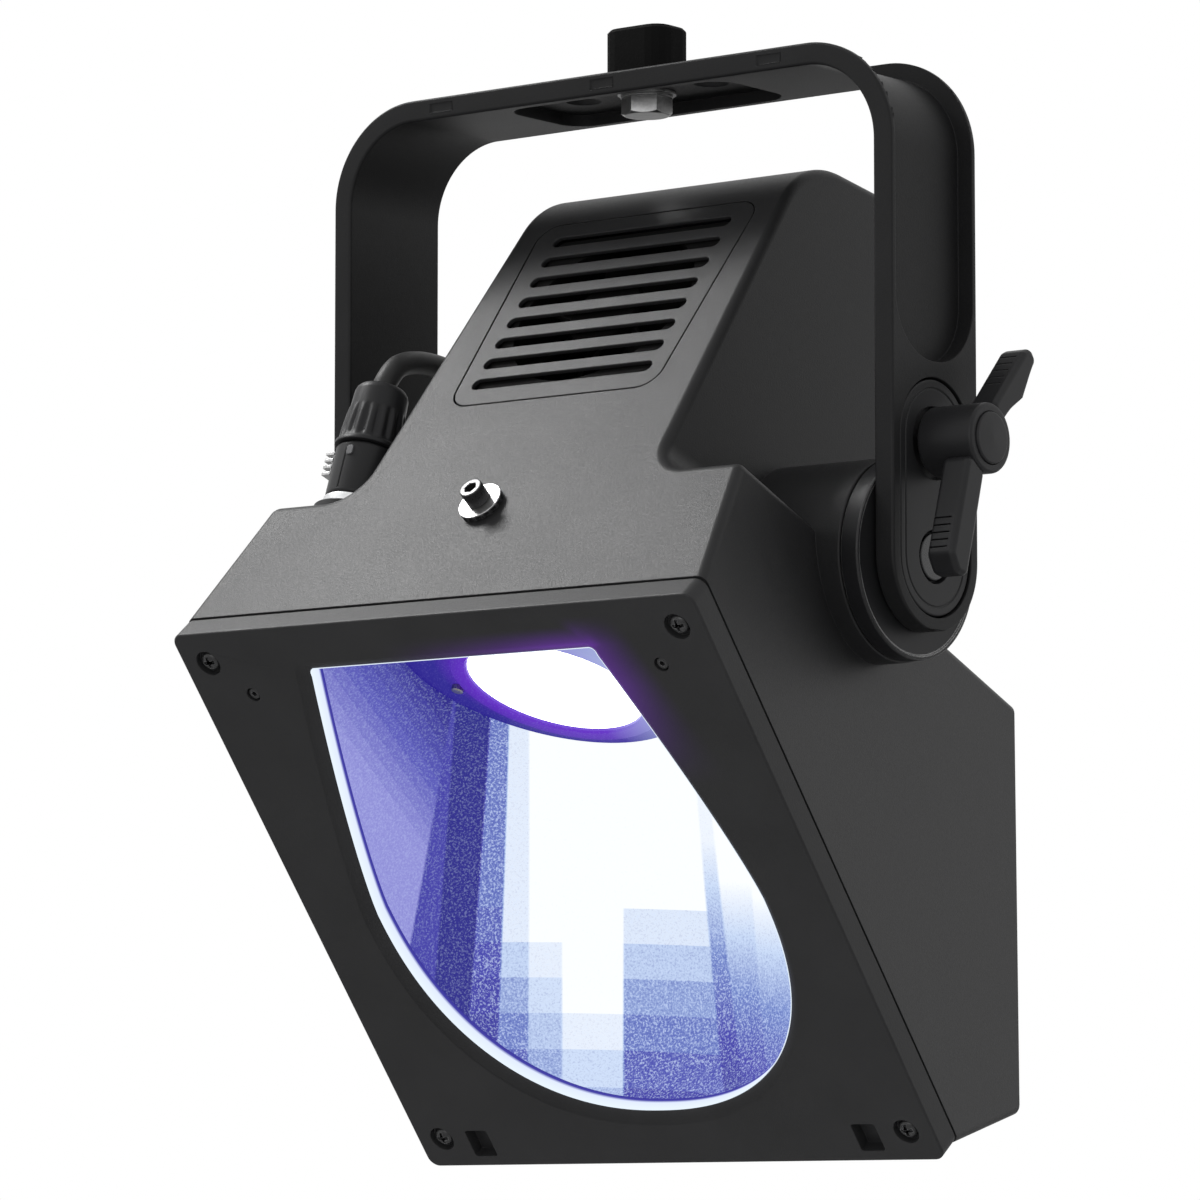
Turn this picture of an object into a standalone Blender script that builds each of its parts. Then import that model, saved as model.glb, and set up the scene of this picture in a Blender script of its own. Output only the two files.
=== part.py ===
# Cyclorama light on a suspension yoke: hanging block, yoke, tilting lamp head, tilt lever.
# Metres, +Z up, the lamp looks towards -Y. The origin is the centre of the hanging block's top face.
# Pieces are drawn about the tilt axis and then lowered by TILT_DROP.
import math

import bmesh
import bpy
from mathutils import Matrix, Vector

# Shared clearances
GAP = 0.0003
RUN = 0.0001
SEAT = 0.0001
CUT = 0.004
DEEP_CUT = 0.010
SMALL_EDGE = 0.0006

# Bezel: its face leans forward, so the window looks down and ahead
FACE_TILT = math.radians(38.34)
FACE_CENTRE = (0, -0.06305, -0.13485)
BEZEL_W = 0.270
BEZEL_H = 0.276
BEZEL_THICK = 0.0115
BEZEL_CORNER_R = 0.005
BEZEL_EDGE = 0.0008
WINDOW_TOP_V = 0.018 - BEZEL_H / 2
WINDOW_SIDE_V = 0.0081
WINDOW_HALF = BEZEL_W / 2 - 0.0293
WINDOW_BOTTOM_V = BEZEL_H / 2 - 0.020
WINDOW_CORNER_R = 0.008
WINDOW_POWER = 2.25
WINDOW_SIDE_DROP = 0.0264
WINDOW_SIDE_POWER = 1.3
WINDOW_BEVEL = 0.0050
WINDOW_BEVEL_DEPTH = 0.0036
SCREW_X = BEZEL_W / 2 - 0.0133
SCREW_V = BEZEL_H / 2 - 0.0147
SCREW_WELL_R = 0.0058
SCREW_WELL_DEPTH = 0.0032
SCREW_HEAD_R = 0.0045
SCREW_SHANK_R = 0.002
SCREW_LENGTH = 0.021
SCREW_DOME = ((0.55, 0.0030), (0.85, 0.0025), (1.0, 0.0014), (1.0, 0.0))
SCREW_SLOT_LEVELS = (0.0040, 0.0015)
POST_IN = 0.0067
POST_OUT_X = 0.0098
POST_OUT_V = 0.0132
POST_DEPTH = 0.027
SET_SCREW_X = BEZEL_W / 2 - 0.029
SET_SCREW_V = 0.0314 - BEZEL_H / 2
SET_SCREW_R = 0.0026
SET_SCREW_SUNK = 0.0008
SET_SCREW_END = 0.0058
SET_SOCKET_R = 0.0013
SQUARE_X = BEZEL_W / 2 - 0.0335
SQUARE_V = BEZEL_H / 2 - 0.012
SQUARE_W = 0.0118
SQUARE_H = 0.0135
SQUARE_DEPTH = 0.006

# Yoke
YOKE_INNER_X = BEZEL_W / 2 + 0.0034
YOKE_THICK = 0.00925
YOKE_DEPTH = 0.0603
YOKE_BAR_Z = 0.203
YOKE_BEND_R = 0.034
YOKE_WEB = 0.002
YOKE_RIM = 0.0029
YOKE_EDGE = 0.0008
RECESS_BAR_X = 0.066
RECESS_BAR_R = 0.012
RECESS_END_R = 0.026
POCKET_HALF_X = 0.058
POCKET_HALF_Y = 0.0252
POCKET_FLOOR_Z = YOKE_BAR_Z + 0.005
POCKET_CORNER_R = 0.012
BAR_HOLE_X = 0.034
BAR_HOLE_R = 0.0075
NOTCH_LENGTH = 0.012
NOTCH_HEIGHT = 0.004
NOTCH_DEPTH = 0.0008
NOTCH_X = (-0.088, -0.001, 0.086)
NOTCH_Z = YOKE_BAR_Z + YOKE_THICK / 2

# Hanging block and pan bolt
BLOCK_X = 0.032
BLOCK_Y = 0.024
BLOCK_HIGH = 0.02245
BLOCK_CORNER_R = 0.008
BLOCK_CHAMFER = 0.0015
PAN_BOLT_R = 0.006
PAN_HEAD_FLATS = 0.019
PAN_HEAD_HEIGHT = 0.0075
PAN_HEAD_CHAMFER = 0.0014
WASHER_R = 0.0125
SPRING_WASHER_R = 0.0112
WASHER_THICK = 0.0011
PAN_HEAD_LOW_Z = POCKET_FLOOR_Z - SEAT - 2 * (WASHER_THICK + SEAT) - PAN_HEAD_HEIGHT
BOLT_IN_BLOCK = 0.016
TILT_DROP = YOKE_BAR_Z + YOKE_THICK + GAP + BLOCK_HIGH

# Leg plates, pivot bolts and friction discs
DISC_R = 0.0415
DISC_RIM = 0.0022
BOSS_R = 0.042
BOSS_EDGE = 0.0008
BOSS_FACE_X = YOKE_INNER_X - 0.0092
BOSS_INNER_X = BOSS_FACE_X - 0.0552
BOSS_WEB = 0.009
BOSS_HOLLOW_R = 0.034
DISC_INNER_X = BOSS_FACE_X + GAP
DISC_TO_LEG = 0.0005
LEVER_Z = DISC_R + 0.005
PLATE_R = 0.0242
PLATE_GROOVE = 0.0007
PLATE_SPAN_Z = LEVER_Z + 0.002
PLATE_THICK = 0.0050
PLATE_SUNK = 0.0006
PLATE_FLOOR = 0.0012
PLATE_BOLT_WELL_R = 0.011
PLATE_HUB_WELL_R = 0.015
RECESS_LEG_Z = PLATE_SPAN_Z + PLATE_R + 0.0073
PIVOT_R = 0.006
PIVOT_HEAD_R = 0.0095
PIVOT_HEAD_THICK = 0.0034
PIVOT_SOCKET_R = 0.0035
PIVOT_SOCKET_DEPTH = 0.0022

# Tilt lever: wing corners are (back, up) from the lever's axis
LEVER_HUB_R = 0.0145
LEVER_INNER_X = YOKE_INNER_X + YOKE_THICK + 0.00055
LEVER_OUTER_X = LEVER_INNER_X + 0.0266
LEVER_WING_X = LEVER_OUTER_X - 0.0138
LEVER_WING_SUNK = 0.0006
LEVER_CAP_R = 0.0107
LEVER_CAP_PROUD = 0.0022
LEVER_CAP_SUNK = 0.003
LEVER_CAP_EDGE = ((0.0, 0.0014), (0.0007, 0.0004), (0.0020, 0.0))
LEVER_EDGE = 0.0015
WING_CORNER_R = 0.0028
UPPER_WING = (
    (0.0030, 0.0135), (0.0100, 0.0065), (0.0220, 0.0205), (0.0350, 0.0350), (0.0310, 0.0405),
    (0.0262, 0.0385),
)
LOWER_WING = (
    (-0.0140, -0.0065), (-0.0268, -0.0490), (-0.0225, -0.0565), (-0.0155, -0.0580),
    (-0.0095, -0.0375), (-0.0030, -0.0145),
)
WING_GROOVES = 5
WING_GROOVE_HALF = 0.0003
WING_GROOVE_DEPTH = 0.0006
WING_GROOVE_SHORT = 0.0040
UPPER_GROOVES = (0.0030, 0.0041)
LOWER_GROOVES = (0.0031, 0.0032)
STUD_R = 0.004
STUD_IN_HUB = 0.0104
SHOE_WIDTH = 0.024
SHOE_LOW_Z = DISC_R - 0.0115
SHOE_TOP_Z = LEVER_Z + 0.0105

# Housing: side profile points as (y, z), about the tilt axis
WALL = 0.0032
SLOPE_RISE = math.radians(51)
LEDGE_FALL = math.radians(19.4)
SHOULDER_S = 0.0656
SLOPE_TOP_S = 0.2258
TOP_ARC_R = 0.045
TOP_FALL = math.radians(9.5)
NECK_BACK_Y = 0.100
LEDGE_RUN = 0.240
BACK_LOW_V = BEZEL_H / 2 + 0.0271
BACK_LOW_DEPTH = BEZEL_THICK + 0.0547
SIDE_TAPER = 0.19
NECK_HALF = BEZEL_W / 2 - 0.0563
NECK_TAPER = 0.05
NECK_FILLET_R = 0.016
HOUSING_EDGE = 0.0055
NECK_CAVITY_HALF = NECK_HALF - 0.0147
BACK_OPENING_HALF = NECK_CAVITY_HALF - 0.010
BACK_OPENING_RISE = 0.0184
BACK_OPENING_DROP = 0.0158
BACK_OPENING_R = 0.005

# Vent panel in the slope, measured up the slope from the bezel's rear edge
VENT_LOW_S = 0.1165
VENT_HIGH_S = 0.2266
VENT_LOW_HALF = NECK_HALF - 0.0247
VENT_HIGH_HALF = NECK_HALF - 0.0208
VENT_CORNER_R = 0.010
VENT_GROOVE = 0.0006
VENT_THICK = 0.002
VENT_LEDGE = 0.005
VENT_SLOTS = 8
VENT_TOP_SLOT_S = VENT_HIGH_S - 0.0111
VENT_PITCH = 0.01236
VENT_SLOT_HALF = VENT_LOW_HALF - 0.007
VENT_SLOT_WIDTH = 0.006
EARTH_X = -0.0030
EARTH_S = 0.0535
EARTH_HEAD_R = 0.005
EARTH_HEAD_HEIGHT = 0.0075
EARTH_SHANK_R = 0.0024
EARTH_SOCKET_R = 0.0026
EARTH_WASHER_R = 0.0098
EARTH_WASHER_THICK = 0.0027
EARTH_TEETH = 16

# Lamp inside the head
LAMP_Y = -0.0623
LAMP_Z = -0.0487
LAMP_TILT = math.radians(23.9)
LENS_R = 0.0375
LENS_PROUD = 0.0016
RING_R = LENS_R + 0.0075
CEILING_R = 0.0617
CEILING_SHIFT = -0.010
CEILING_THICK = 0.002
CEILING_LAP = 0.003
CEILING_SCREW_X = -RING_R - 0.0045
CEILING_SCREW_H = -0.003
CEILING_SCREW_R = 0.0014
REFLECTOR_WALL = 0.0012
REFLECTOR_STEPS = 6
REFLECTOR_FLANGE = 0.010
SHEET_WORDS = ("lower", "left", "upper", "right")
SHEET_SEAMS = (45, 135, 225, 315)
LED_BOARD_HALF_X = 0.050
LED_BOARD_H = (-0.040, 0.052)
LED_BOARD_THICK = 0.002
STACK_GAP = 0.0002
SINK_HALF_X = 0.052
SINK_LOW_H = -0.042
SINK_HIGH_H = 0.056
SINK_BASE = 0.006
SINK_HEIGHT = 0.044
SINK_FINS = 14
SINK_FIN = 0.0018

# Fan behind the vent panel
FAN_SIZE = 2 * NECK_CAVITY_HALF - 0.036
FAN_THICK = 0.025
FAN_CORNER_R = 0.004
FAN_BLADE_THICK = 0.0016
FAN_S = (VENT_LOW_S + VENT_HIGH_S) / 2
FAN_BORE_R = FAN_SIZE / 2 - 0.0028
FAN_HUB_R = 0.018
FAN_BLADE_R = FAN_BORE_R - 0.0014
FAN_BLADES = 7
FAN_BLADE_HALF = 0.0115
FAN_BLADE_PITCH = math.radians(38)
FAN_STRUT_HALF = 0.0025
FAN_STRUT_LEVELS = (0.0004, 0.0029)
FAN_PLATE_LEVELS = (0.0007, 0.0036)
FAN_ROTOR_LEVELS = (0.0045, 0.0225, 0.0240)

# Rear cover and controls
COVER_HALF = BACK_OPENING_HALF + 0.0095
COVER_LAP_LOW = 0.008
COVER_LAP_HIGH = 0.0075
COVER_THICK = 0.003
COVER_CORNER_R = 0.006
COVER_FRONT_Y = NECK_BACK_Y + GAP
COVER_REAR_Y = COVER_FRONT_Y + COVER_THICK
COVER_SCREW_X = COVER_HALF - 0.0047
COVER_SCREW_INSET = 0.006
COVER_SCREW_R = 0.0015
COVER_SCREW_HEAD_R = 0.0030
COVER_SCREW_DOME = 0.0009
COVER_SCREW_BITE = 0.005
DISPLAY_W = 0.060
DISPLAY_H = 0.028
DISPLAY_DROP = 0.023
BUTTON_R = 0.004
BUTTON_LIP = 0.0014
BUTTON_LIP_THICK = 0.0012
BUTTON_EDGE = 0.0005
BUTTON_X = (-0.0225, -0.0075, 0.0075, 0.0225)
BUTTON_DROP = 0.030
BUTTON_PROUD = 0.0015
POWER_X = -0.027
POWER_W = 0.033
POWER_H = 0.027
POWER_WALL = 0.004
POWER_LIP = 0.002
POWER_PIN_R = 0.0018
POWER_PIN_LENGTH = 0.006
POWER_PINS = ((-0.006, -0.002), (0.0, 0.003), (0.006, -0.002))
DATA_X = (0.014, 0.042)
SOCKET_RISE = 0.040
SOCKET_DEPTH = 0.012
SOCKET_PROUD = 0.0022
SOCKET_FLOOR = 0.003
DATA_R = 0.0120
DATA_LIP = 0.0018
DATA_BORE_R = 0.0090
DATA_PIN_R = 0.0011
DATA_PIN_RING = 0.005
DATA_PIN_LENGTH = 0.007
BOARD_HALF_X = NECK_CAVITY_HALF - 0.014
BOARD_LAP_LOW = 0.019
BOARD_LAP_HIGH = 0.016
BOARD_THICK = 0.0016
DRIVER_HALF_X = 0.070
DRIVER_RUN = (-0.050, 0.052)
DRIVER_HIGH = 0.0376

# Lead from the ledge connector to the gland on the neck's left side
CONNECTOR_X = -NECK_HALF - 0.0193
CONNECTOR_S = 0.0229
CONNECTOR_BORE_R = 0.0075
PAD_R = 0.0172
PAD_HIGH = 0.0046
PAD_SUNK = 0.0045
FLANGE_R = 0.0140
FLANGE_HIGH = 0.0042
PLUG_R = 0.0135
PLUG_TOP = 0.0333
PLUG_EDGE = 0.0020
SEAM_DEPTH = 0.0004
SEAM_LEVELS = (0.002, 0.0150)
LATCH_HALF = 0.0058
LATCH_LEVELS = (0.0118, 0.0226)
LATCH_WAY_LEVELS = (0.0094, 0.0230)
LATCH_PROUD = 0.0030
LATCH_SUNK = 0.0018
LATCH_PLAY = 0.0004
LATCH_GROOVES = 3
LATCH_GROOVE_PITCH = 0.0030
LATCH_GROOVE = 0.0015
LATCH_GROOVE_DEPTH = 0.0018
BUSHING_TOP = 0.0625
BUSHING_FLUTES = 16
BUSHING_TIP_R = 0.0116
BUSHING_ROUND = 0.0022
FLUTE_DEPTH = 0.0009
BUSHING_RINGS = (
    (0.0148, 0, 0), (0.0148, 0, 0.0018), (0.0137, 0, 0.0028), (0.0135, FLUTE_DEPTH, 0.0060),
    (0.0128, FLUTE_DEPTH, 0.0120), (0.0120, 0, 0.0180),
)
LEAD_R = 0.005
LEAD_STRAIGHT = 0.003
LEAD_ROUTE = (
    (-0.0985, -0.0465, 0.0940), (-0.1000, -0.0330, 0.0978), (-0.1030, -0.0130, 0.0985),
    (-0.1055, 0.0080, 0.0960), (-0.1035, 0.0260, 0.0928),
)
GLAND_WALL = (-NECK_HALF + 0.0045, 0.062, 0.092)
GLAND_TURN = math.radians(40)
GLAND_BOSS = 0.012
GLAND_BOSS_R = 0.0115
GLAND_SUNK = 0.0035
GLAND_BORE_R = 0.0060
GLAND_LENGTH = 0.016
GLAND_NUT = ((0.0100, 0), (0.0108, 0.0008), (0.0108, 0.0070), (0.0092, 0.0080))
GLAND_TAIL_R = 0.0088
GLAND_ROUND = 0.0028


def reset_scene():
    """Empties the scene."""
    for thing in list(bpy.data.objects):
        bpy.data.objects.remove(thing, do_unlink=True)


def frame(x_axis, y_axis, z_axis, origin):
    """The matrix whose columns are the three axes and the origin."""
    made = Matrix((x_axis, y_axis, z_axis)).transposed().to_4x4()
    made.translation = Vector(origin)
    return made


def side_direction(angle):
    """The unit vector in the side view at an angle above straight back."""
    return Vector((0, math.cos(angle), math.sin(angle)))


RIGHT = Vector((1, 0, 0))
FACE_IN = Vector((0, math.cos(FACE_TILT), math.sin(FACE_TILT)))
FACE_DOWN = Vector((0, math.sin(FACE_TILT), -math.cos(FACE_TILT)))
FACE = frame(RIGHT, FACE_DOWN, FACE_IN, FACE_CENTRE)
FACE_REAR_TOP = FACE @ Vector((0, -BEZEL_H / 2, BEZEL_THICK))
FACE_REAR_LOW = FACE @ Vector((0, BEZEL_H / 2, BEZEL_THICK))
SLOPE_UP = side_direction(SLOPE_RISE)
SLOPE = frame(RIGHT, SLOPE_UP, RIGHT.cross(SLOPE_UP), FACE_REAR_TOP)
SHOULDER = tuple((FACE_REAR_TOP + SLOPE_UP * SHOULDER_S).yz)
SLOPE_TOP = tuple((FACE_REAR_TOP + SLOPE_UP * SLOPE_TOP_S).yz)
LEDGE_BACK = side_direction(-LEDGE_FALL)
LEDGE = frame(RIGHT, LEDGE_BACK, RIGHT.cross(LEDGE_BACK), (0, *SHOULDER))
BACK_TOP = tuple((LEDGE @ Vector((0, LEDGE_RUN, 0))).yz)
BACK_LOW = tuple((FACE @ Vector((0, BACK_LOW_V, BACK_LOW_DEPTH))).yz)
LAMP_BACK = side_direction(-LAMP_TILT)
LAMP = frame(RIGHT, LAMP_BACK, RIGHT.cross(LAMP_BACK), (0, LAMP_Y, LAMP_Z))
UPRIGHT = Matrix.Identity(4)
ALONG_X = frame((0, 1, 0), (0, 0, 1), (1, 0, 0), (0, 0, 0))
ALONG_MINUS_X = frame((0, -1, 0), (0, 0, 1), (-1, 0, 0), (0, 0, 0))
REAR = frame((-1, 0, 0), (0, 0, 1), (0, 1, 0), (0, 0, 0))


def circle(radius, steps=32, centre=(0, 0), start=0.0):
    """A closed ring of 2-D points."""
    turn = 2 * math.pi / steps
    return [
        (centre[0] + radius * math.cos(start + i * turn), centre[1] + radius * math.sin(start + i * turn))
        for i in range(steps)
    ]


def arc(centre, radius, first, last, steps):
    """Points along a circular arc, both ends included."""
    return [
        (centre[0] + radius * math.cos(a), centre[1] + radius * math.sin(a))
        for a in (first + (last - first) * i / steps for i in range(steps + 1))
    ]


def rounded(x0, x1, y0, y1, radius, steps=4):
    """A rectangle with rounded corners."""
    corners = ((x1, y0, -90), (x1, y1, 0), (x0, y1, 90), (x0, y0, 180))
    points = []
    for x, y, start in corners:
        centre = (x - radius if x == x1 else x + radius, y - radius if y == y1 else y + radius)
        points += arc(centre, radius, math.radians(start), math.radians(start + 90), steps)
    return points


def stadium(y0, y1, radius, steps=12):
    """An upright slot outline between two end centres on the second axis."""
    return arc((0, y0), radius, math.pi, 2 * math.pi, steps) + arc((0, y1), radius, 0, math.pi, steps)


def rounded_polygon(corners, radius, steps=4):
    """Any convex counter-clockwise polygon with its corners rounded."""
    points = []
    count = len(corners)
    for i, corner in enumerate(corners):
        here = Vector(corner)
        back = (Vector(corners[i - 1]) - here).normalized()
        ahead = (Vector(corners[(i + 1) % count]) - here).normalized()
        half = back.angle(ahead) / 2
        centre = here + (back + ahead).normalized() * radius / math.sin(half)
        first = here + back * radius / math.tan(half) - centre
        sweep = math.pi - 2 * half
        start = math.atan2(first.y, first.x)
        points += arc(centre, radius, start, start + sweep, steps)
    return points


def loft(rings, closed_ends=True):
    """Skins rings of equal length, and caps both ends."""
    count = len(rings[0])
    points = [Vector(p) for ring in rings for p in ring]
    faces = []
    for k in range(len(rings) - 1):
        for i in range(count):
            j = (i + 1) % count
            low = k * count
            faces.append((low + i, low + j, low + count + j, low + count + i))
    if closed_ends:
        faces.append(tuple(reversed(range(count))))
        faces.append(tuple(range((len(rings) - 1) * count, len(rings) * count)))
    return points, faces


def prism(outline, low, high, place=UPRIGHT):
    """An outline drawn in a frame and pushed from one level to another."""
    return loft([[place @ Vector((x, y, level)) for x, y in outline] for level in (low, high)])


def stack(levels, place=UPRIGHT):
    """Outlines at rising levels, skinned into one solid."""
    return loft([[place @ Vector((x, y, level)) for x, y in outline] for outline, level in levels])


def turned(profile, place=UPRIGHT, steps=32):
    """A solid of revolution about the frame's third axis, from (radius, level) pairs, open radii only."""
    return stack([(circle(radius, steps), level) for radius, level in profile], place)


def collar(profile, place=UPRIGHT, steps=32):
    """A ring: a closed (radius, level) profile turned about the frame's third axis."""
    rings = [[place @ Vector((x, y, level)) for x, y in circle(radius, steps)] for radius, level in profile]
    return loft(rings + [rings[0]], closed_ends=False)


def box(x0, x1, y0, y1, z0, z1, place=UPRIGHT):
    """A plain block in a frame."""
    return prism([(x0, y0), (x1, y0), (x1, y1), (x0, y1)], z0, z1, place)


def shifted(place, x, y, z=0.0):
    """The same frame moved along its own axes."""
    return place @ Matrix.Translation((x, y, z))


def build_mesh(name, shapes):
    """One mesh of all the shapes, with outward faces."""
    made = bmesh.new()
    for points, faces in shapes:
        verts = [made.verts.new(p) for p in points]
        for face in faces:
            made.faces.new([verts[i] for i in face])
    bmesh.ops.remove_doubles(made, verts=made.verts, dist=1e-7)
    bmesh.ops.recalc_face_normals(made, faces=made.faces)
    mesh = bpy.data.meshes.new(name)
    made.to_mesh(mesh)
    made.free()
    return mesh


def add_object(name, shapes, pivot):
    """An object whose own origin sits at the pivot, in the tilt axis's frame."""
    mesh = build_mesh(name, shapes)
    mesh.transform(Matrix.Translation(-Vector(pivot)))
    made = bpy.data.objects.new(name, mesh)
    made.location = Vector(pivot) - Vector((0, 0, TILT_DROP))
    bpy.context.scene.collection.objects.link(made)
    return made


def paint(made, colour, rough, metal):
    """Gives an object a plain material of its own."""
    material = bpy.data.materials.new(made.name)
    material.use_nodes = True
    shader = material.node_tree.nodes["Principled BSDF"]
    shader.inputs["Base Color"].default_value = (*colour, 1)
    shader.inputs["Roughness"].default_value = rough
    shader.inputs["Metallic"].default_value = metal
    made.data.materials.append(material)


def part(name, shapes, colour=(0.03, 0.03, 0.03), rough=0.5, metal=0.0, pivot=(0, 0, 0), sharp=35):
    """A finished piece."""
    made = add_object(name, shapes, pivot)
    made.data.shade_smooth()
    made.data.set_sharp_from_angle(angle=math.radians(sharp))
    paint(made, colour, rough, metal)
    return made


def boolean(made, label, shapes, operation="DIFFERENCE"):
    """Cuts shapes from a piece, or joins them to it."""
    tool = add_object(f"{made.name}_{label}", shapes, (0, 0, 0))
    tool.hide_render = True
    tool.display_type = "WIRE"
    step = made.modifiers.new(label, "BOOLEAN")
    step.operation = operation
    step.solver = "EXACT"
    step.object = tool


def round_edges(made, width, segments, angle=30):
    """Rounds every edge sharper than an angle."""
    step = made.modifiers.new("edges", "BEVEL")
    step.width = width
    step.segments = segments
    step.limit_method = "ANGLE"
    step.angle_limit = math.radians(angle)


# Hanging block and pan bolt

BAR_TOP_Z = YOKE_BAR_Z + YOKE_THICK
LEG_OUTER_X = YOKE_INNER_X + YOKE_THICK
BLACK = (0.02, 0.02, 0.022)
ZINC = (0.62, 0.62, 0.60)
STEEL = (0.45, 0.45, 0.46)
ALUMINIUM = (0.72, 0.73, 0.74)


def hanging_block():
    half_x = BLOCK_X / 2
    half_y = BLOCK_Y / 2
    low = BAR_TOP_Z + GAP
    base = rounded(-half_x, half_x, -half_y, half_y, BLOCK_CORNER_R)
    inner = rounded(
        BLOCK_CHAMFER - half_x, half_x - BLOCK_CHAMFER, BLOCK_CHAMFER - half_y, half_y - BLOCK_CHAMFER,
        BLOCK_CORNER_R - BLOCK_CHAMFER,
    )
    solid = stack([(base, low), (base, TILT_DROP - BLOCK_CHAMFER), (inner, TILT_DROP)])
    made = part("hanger_block", [solid], BLACK, 0.6)
    bore = PAN_BOLT_R + RUN / 2
    hole = turned([(bore, low - CUT), (bore, low + BOLT_IN_BLOCK)])
    boolean(made, "bore", [hole])


def pan_bolt():
    head_r = PAN_HEAD_FLATS / math.sqrt(3)
    top = PAN_HEAD_LOW_Z + PAN_HEAD_HEIGHT
    hexagon = prism(circle(head_r, 6, start=math.pi / 6), PAN_HEAD_LOW_Z, top)
    shank_low = top - PAN_HEAD_HEIGHT / 2
    shank = turned([(PAN_BOLT_R, shank_low), (PAN_BOLT_R, BAR_TOP_Z + BOLT_IN_BLOCK - SMALL_EDGE)])
    made = part("pan_bolt", [hexagon], ZINC, 0.25, 0.9)
    chamfer = turned([
        (PAN_HEAD_FLATS / 2 - SMALL_EDGE, PAN_HEAD_LOW_Z - GAP),
        (head_r + SMALL_EDGE, PAN_HEAD_LOW_Z + PAN_HEAD_CHAMFER),
        (head_r + SMALL_EDGE, top + SMALL_EDGE),
    ])
    boolean(made, "chamfer", [chamfer], "INTERSECT")
    boolean(made, "shank", [shank], "UNION")


def pan_washers():
    bore = PAN_BOLT_R + RUN
    low = PAN_HEAD_LOW_Z + PAN_HEAD_HEIGHT + SEAT
    for name, radius in (("spring_washer", SPRING_WASHER_R), ("flat_washer", WASHER_R)):
        high = low + WASHER_THICK
        ring = collar([(bore, low), (radius, low), (radius, high), (bore, high)], UPRIGHT, 24)
        part(name, [ring], ZINC, 0.3, 0.9)
        low = high + SEAT


# Yoke

BAR_HALF = YOKE_INNER_X - YOKE_BEND_R
BEND_LENGTH = YOKE_BEND_R * math.pi / 2
LEG_TOP_Z = YOKE_BAR_Z - YOKE_BEND_R


def strap_point(along, out):
    """A point of the bent strap: distance from mid-bar along its inner face, and height above that face."""
    side = 1 if along >= 0 else -1
    far = abs(along)
    if far <= BAR_HALF:
        return side * far, YOKE_BAR_Z + out
    if far <= BAR_HALF + BEND_LENGTH:
        turn = (far - BAR_HALF) / YOKE_BEND_R
        reach = YOKE_BEND_R + out
        return side * (BAR_HALF + reach * math.sin(turn)), LEG_TOP_Z + reach * math.cos(turn)
    return side * (YOKE_INNER_X + out), LEG_TOP_Z - (far - BAR_HALF - BEND_LENGTH)


def leg_along(z):
    """How far along the strap a height on the leg lies."""
    return BAR_HALF + BEND_LENGTH + LEG_TOP_Z - z


def strap(stations, low, high):
    """A length of strap between two heights above its inner face, from (along, half width) stations."""
    rings = []
    for along, half in stations:
        inner_x, inner_z = strap_point(along, low)
        outer_x, outer_z = strap_point(along, high)
        inner = [(inner_x, -half, inner_z), (inner_x, half, inner_z)]
        outer = [(outer_x, half, outer_z), (outer_x, -half, outer_z)]
        rings.append(inner + outer)
    return loft(rings)


def bend_stations(half, steps=8):
    """Evenly spaced stations round one bend."""
    return [(BAR_HALF + BEND_LENGTH * i / steps, half) for i in range(steps + 1)]


def yoke_outline():
    """Stations for the whole strap, its leg ends rounded about the pivot."""
    half = YOKE_DEPTH / 2
    end = []
    for i in range(1, 9):
        turn = math.radians(90 - 9.6 * i)
        end.append((leg_along(-half * math.cos(turn)), half * math.sin(turn)))
    right = [(BAR_HALF / 2, half)] + bend_stations(half) + [(leg_along(0), half)] + end
    return [(-along, width) for along, width in reversed(right)] + right


def leg_recess(side):
    """The channel on the outer face of one leg, its bend and the end of the bar."""
    half = YOKE_DEPTH / 2 - YOKE_RIM
    end = leg_along(RECESS_LEG_Z)
    stations = []
    for i in range(6):
        turn = math.radians(90 * i / 5)
        inset = RECESS_BAR_R * (1 - math.sin(turn))
        stations.append((RECESS_BAR_X + RECESS_BAR_R * (1 - math.cos(turn)), half - inset))
    stations += bend_stations(half)
    for i in range(8):
        turn = math.radians(90 * i / 7)
        inset = RECESS_END_R * (1 - math.cos(turn))
        stations.append((end - RECESS_END_R * (1 - math.sin(turn)), half - inset))
    signed = [(side * along, width) for along, width in stations]
    return strap(signed, YOKE_WEB, YOKE_THICK + CUT)


def leg_frame(side):
    """Looks out of one leg: second axis up, third axis away from the lamp."""
    return ALONG_X if side > 0 else ALONG_MINUS_X


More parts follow.
